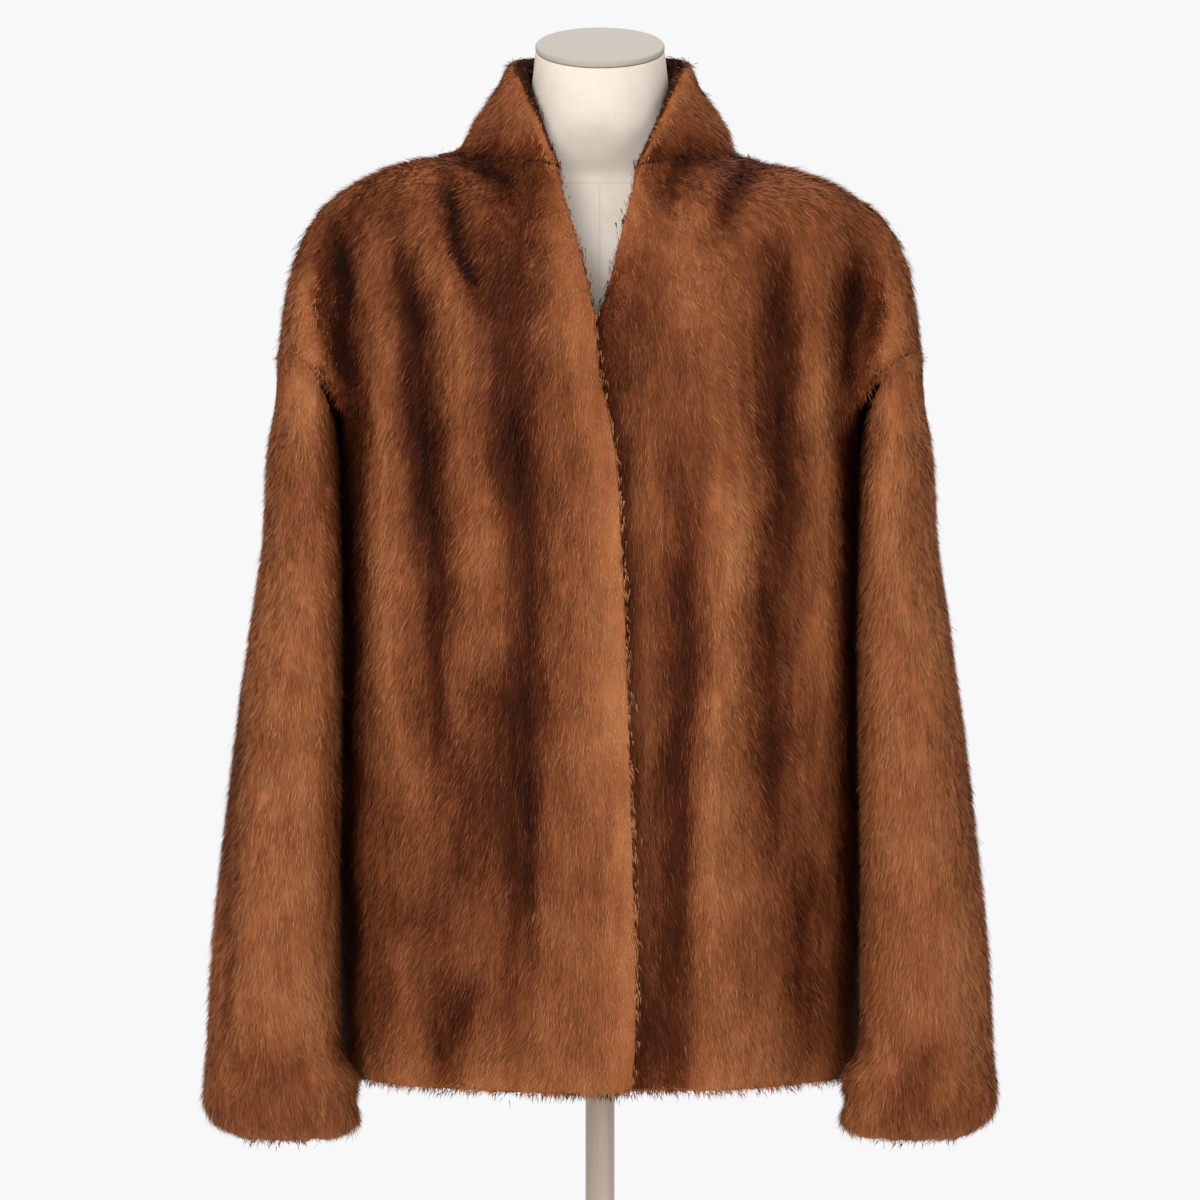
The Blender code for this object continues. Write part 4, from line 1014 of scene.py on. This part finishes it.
# %% Seams of the cover
where = add_node(tree, "ShaderNodeSeparateXYZ", {"Vector": at.outputs["Object"]})
tilted = add_node(
    tree, "ShaderNodeMath", {0: where.outputs["Y"]}, {1: NECK_SEAM_TILT}, operation="MULTIPLY"
)
level = add_node(
    tree, "ShaderNodeMath", {0: where.outputs["Z"], 1: tilted.outputs[0]}, operation="ADD"
)
ring = seam_line(tree, level.outputs[0], NECK_SEAM, NECK_SEAM_WIDTH)
down = seam_line(tree, where.outputs["X"], 0.0, FRONT_SEAM_WIDTH)
below = add_node(
    tree, "ShaderNodeMapRange", {"Value": level.outputs[0]},
    {"From Min": 1.3385, "From Max": 1.3391, "To Min": 1.0, "To Max": 0.0},
)
down = add_node(tree, "ShaderNodeMath", {0: down, 1: below.outputs[0]}, operation="MULTIPLY")
seams = add_node(tree, "ShaderNodeMath", {0: ring, 1: down.outputs[0]}, operation="MAXIMUM")
shaded = add_node(tree, "ShaderNodeMath", {0: seams.outputs[0]}, {1: 0.22}, operation="MULTIPLY")
mixed = add_node(tree, "ShaderNodeMix", {0: shaded.outputs[0]}, data_type="RGBA")
COLOUR_A, COLOUR_B = 6, 7  # this node has several sockets of one name, so these go by number
mixed.inputs[COLOUR_B].default_value = linear("#8d7d6c")
tree.links.new(linen.outputs[0], mixed.inputs[COLOUR_A])
tree.links.new(mixed.outputs[2], shader.inputs["Base Color"])

# %% Relief of the cover
lower = add_node(tree, "ShaderNodeMath", {0: seams.outputs[0]}, {1: -1.0}, operation="MULTIPLY")
relief_of_cover = add_node(
    tree, "ShaderNodeMath", {0: weave.outputs[0], 1: lower.outputs[0]}, operation="ADD"
)


def add_bump(tree, shader, height, strength, distance):
    """Lets the light follow a pattern's relief, with its depth in metres."""
    bump = add_node(
        tree, "ShaderNodeBump", {"Height": height}, {"Strength": strength, "Distance": distance}
    )
    tree.links.new(bump.outputs[0], shader.inputs["Normal"])


add_bump(tree, shader, relief_of_cover.outputs[0], 0.5, 0.0003)
form.data.materials.append(material)
print(material.name, len(tree.nodes), "nodes")

# %% The cap
# Linen bonded to a board: flatter and greyer than the cover, with the slub but no open weave.
material, tree, shader = new_material("bonded_linen_cap", Roughness=0.75, Specular_IOR_Level=0.25)
slub = stretched_noise(tree, 1, {"Scale": 420, "Detail": 3})
ramp = ramp_of(tree, slub.outputs["Fac"], [(0.0, "#a59d93"), (1.0, "#b2aaa0")])
tree.links.new(ramp.outputs[0], shader.inputs["Base Color"])
add_bump(tree, shader, slub.outputs["Fac"], 0.3, 0.0002)
cap.data.materials.append(material)
print(material.name, len(tree.nodes), "nodes")

# %% The pole and the foot
# Steel, brushed along its length and then lacquered in a warm grey. The brushing gives the eye
# fine streaks up the pole, and the lacquer a broad, soft highlight down it.
material, tree, shader = new_material("lacquered_steel", Roughness=0.36, Metallic=0.55)
brushed = stretched_noise(tree, 0.02, {"Scale": 900, "Detail": 2})
ramp = ramp_of(tree, brushed.outputs["Fac"], [(0.0, "#bba999"), (1.0, "#d2c0b0")])
tree.links.new(ramp.outputs[0], shader.inputs["Base Color"])
add_bump(tree, shader, brushed.outputs["Fac"], 0.15, 0.0002)
for piece in (pole, foot):
    piece.data.materials.append(material)
print(material.name, len(tree.nodes), "nodes")

# %% [markdown]
# ## The cut
# Each piece of cloth was flat before it was sewn. The whole of each cut shows, apart from what is
# turned in at the seams.

# %% [markdown]
# ## Floor and light
# Dark fur swallows light, and a hard light would make it glitter. A photographer sets a large
# soft light high on one side, a weaker one across from it, a small one by the camera for the
# form's chest, and one above and behind that lifts the shoulders off the background. The world
# is brighter to the camera than to the coat, so that the background stays white.

# %% The floor
bpy.ops.mesh.primitive_plane_add(size=7, location=(0, 0, -0.0005))
floor = bpy.context.object
floor.name = "floor"
material, tree, shader = new_material("pale_floor", Roughness=0.9)
shader.inputs["Base Color"].default_value = linear("#f0f0f0")
floor.data.materials.append(material)

# %% The surroundings
world = bpy.data.worlds.new("studio")
scene.world = world
world.use_nodes = True
studio = world.node_tree
backdrop = studio.nodes["Background"]
backdrop.inputs["Color"].default_value = linear("#f8f8f9")
ray = add_node(studio, "ShaderNodeLightPath")
dimmed = add_node(
    studio, "ShaderNodeMapRange", {"Value": ray.outputs["Is Camera Ray"]},
    {"To Min": 0.6, "To Max": 1.0},
)
studio.links.new(dimmed.outputs[0], backdrop.inputs["Strength"])
scene.view_settings.view_transform = "Standard"


# %% The lamps
def add_light(name, side, power, place, aim):
    """A square area lamp with this side, aimed at a point."""
    data = bpy.data.lights.new(name, "AREA")
    data.shape = "RECTANGLE"
    data.size = data.size_y = side
    data.energy = power
    lamp = bpy.data.objects.new(name, data)
    lamp.location = place
    lamp.rotation_euler = (Vector(aim) - Vector(place)).to_track_quat("-Z", "Y").to_euler()
    scene.collection.objects.link(lamp)
    print(name, power, "W")


add_light("key_light", 1.4, 62, (-1.4, -2.4, 2.9), (0, 0, 1.05))
add_light("fill_light", 1.6, 22, (2.2, -2.4, 1.8), (0, 0, 1.0))
add_light("front_light", 0.5, 7, (0.15, -2.9, 1.45), (0, 0, 1.3))
add_light("top_light", 1.2, 20, (0.3, 0.9, 3.0), (0, 0, 1.1))
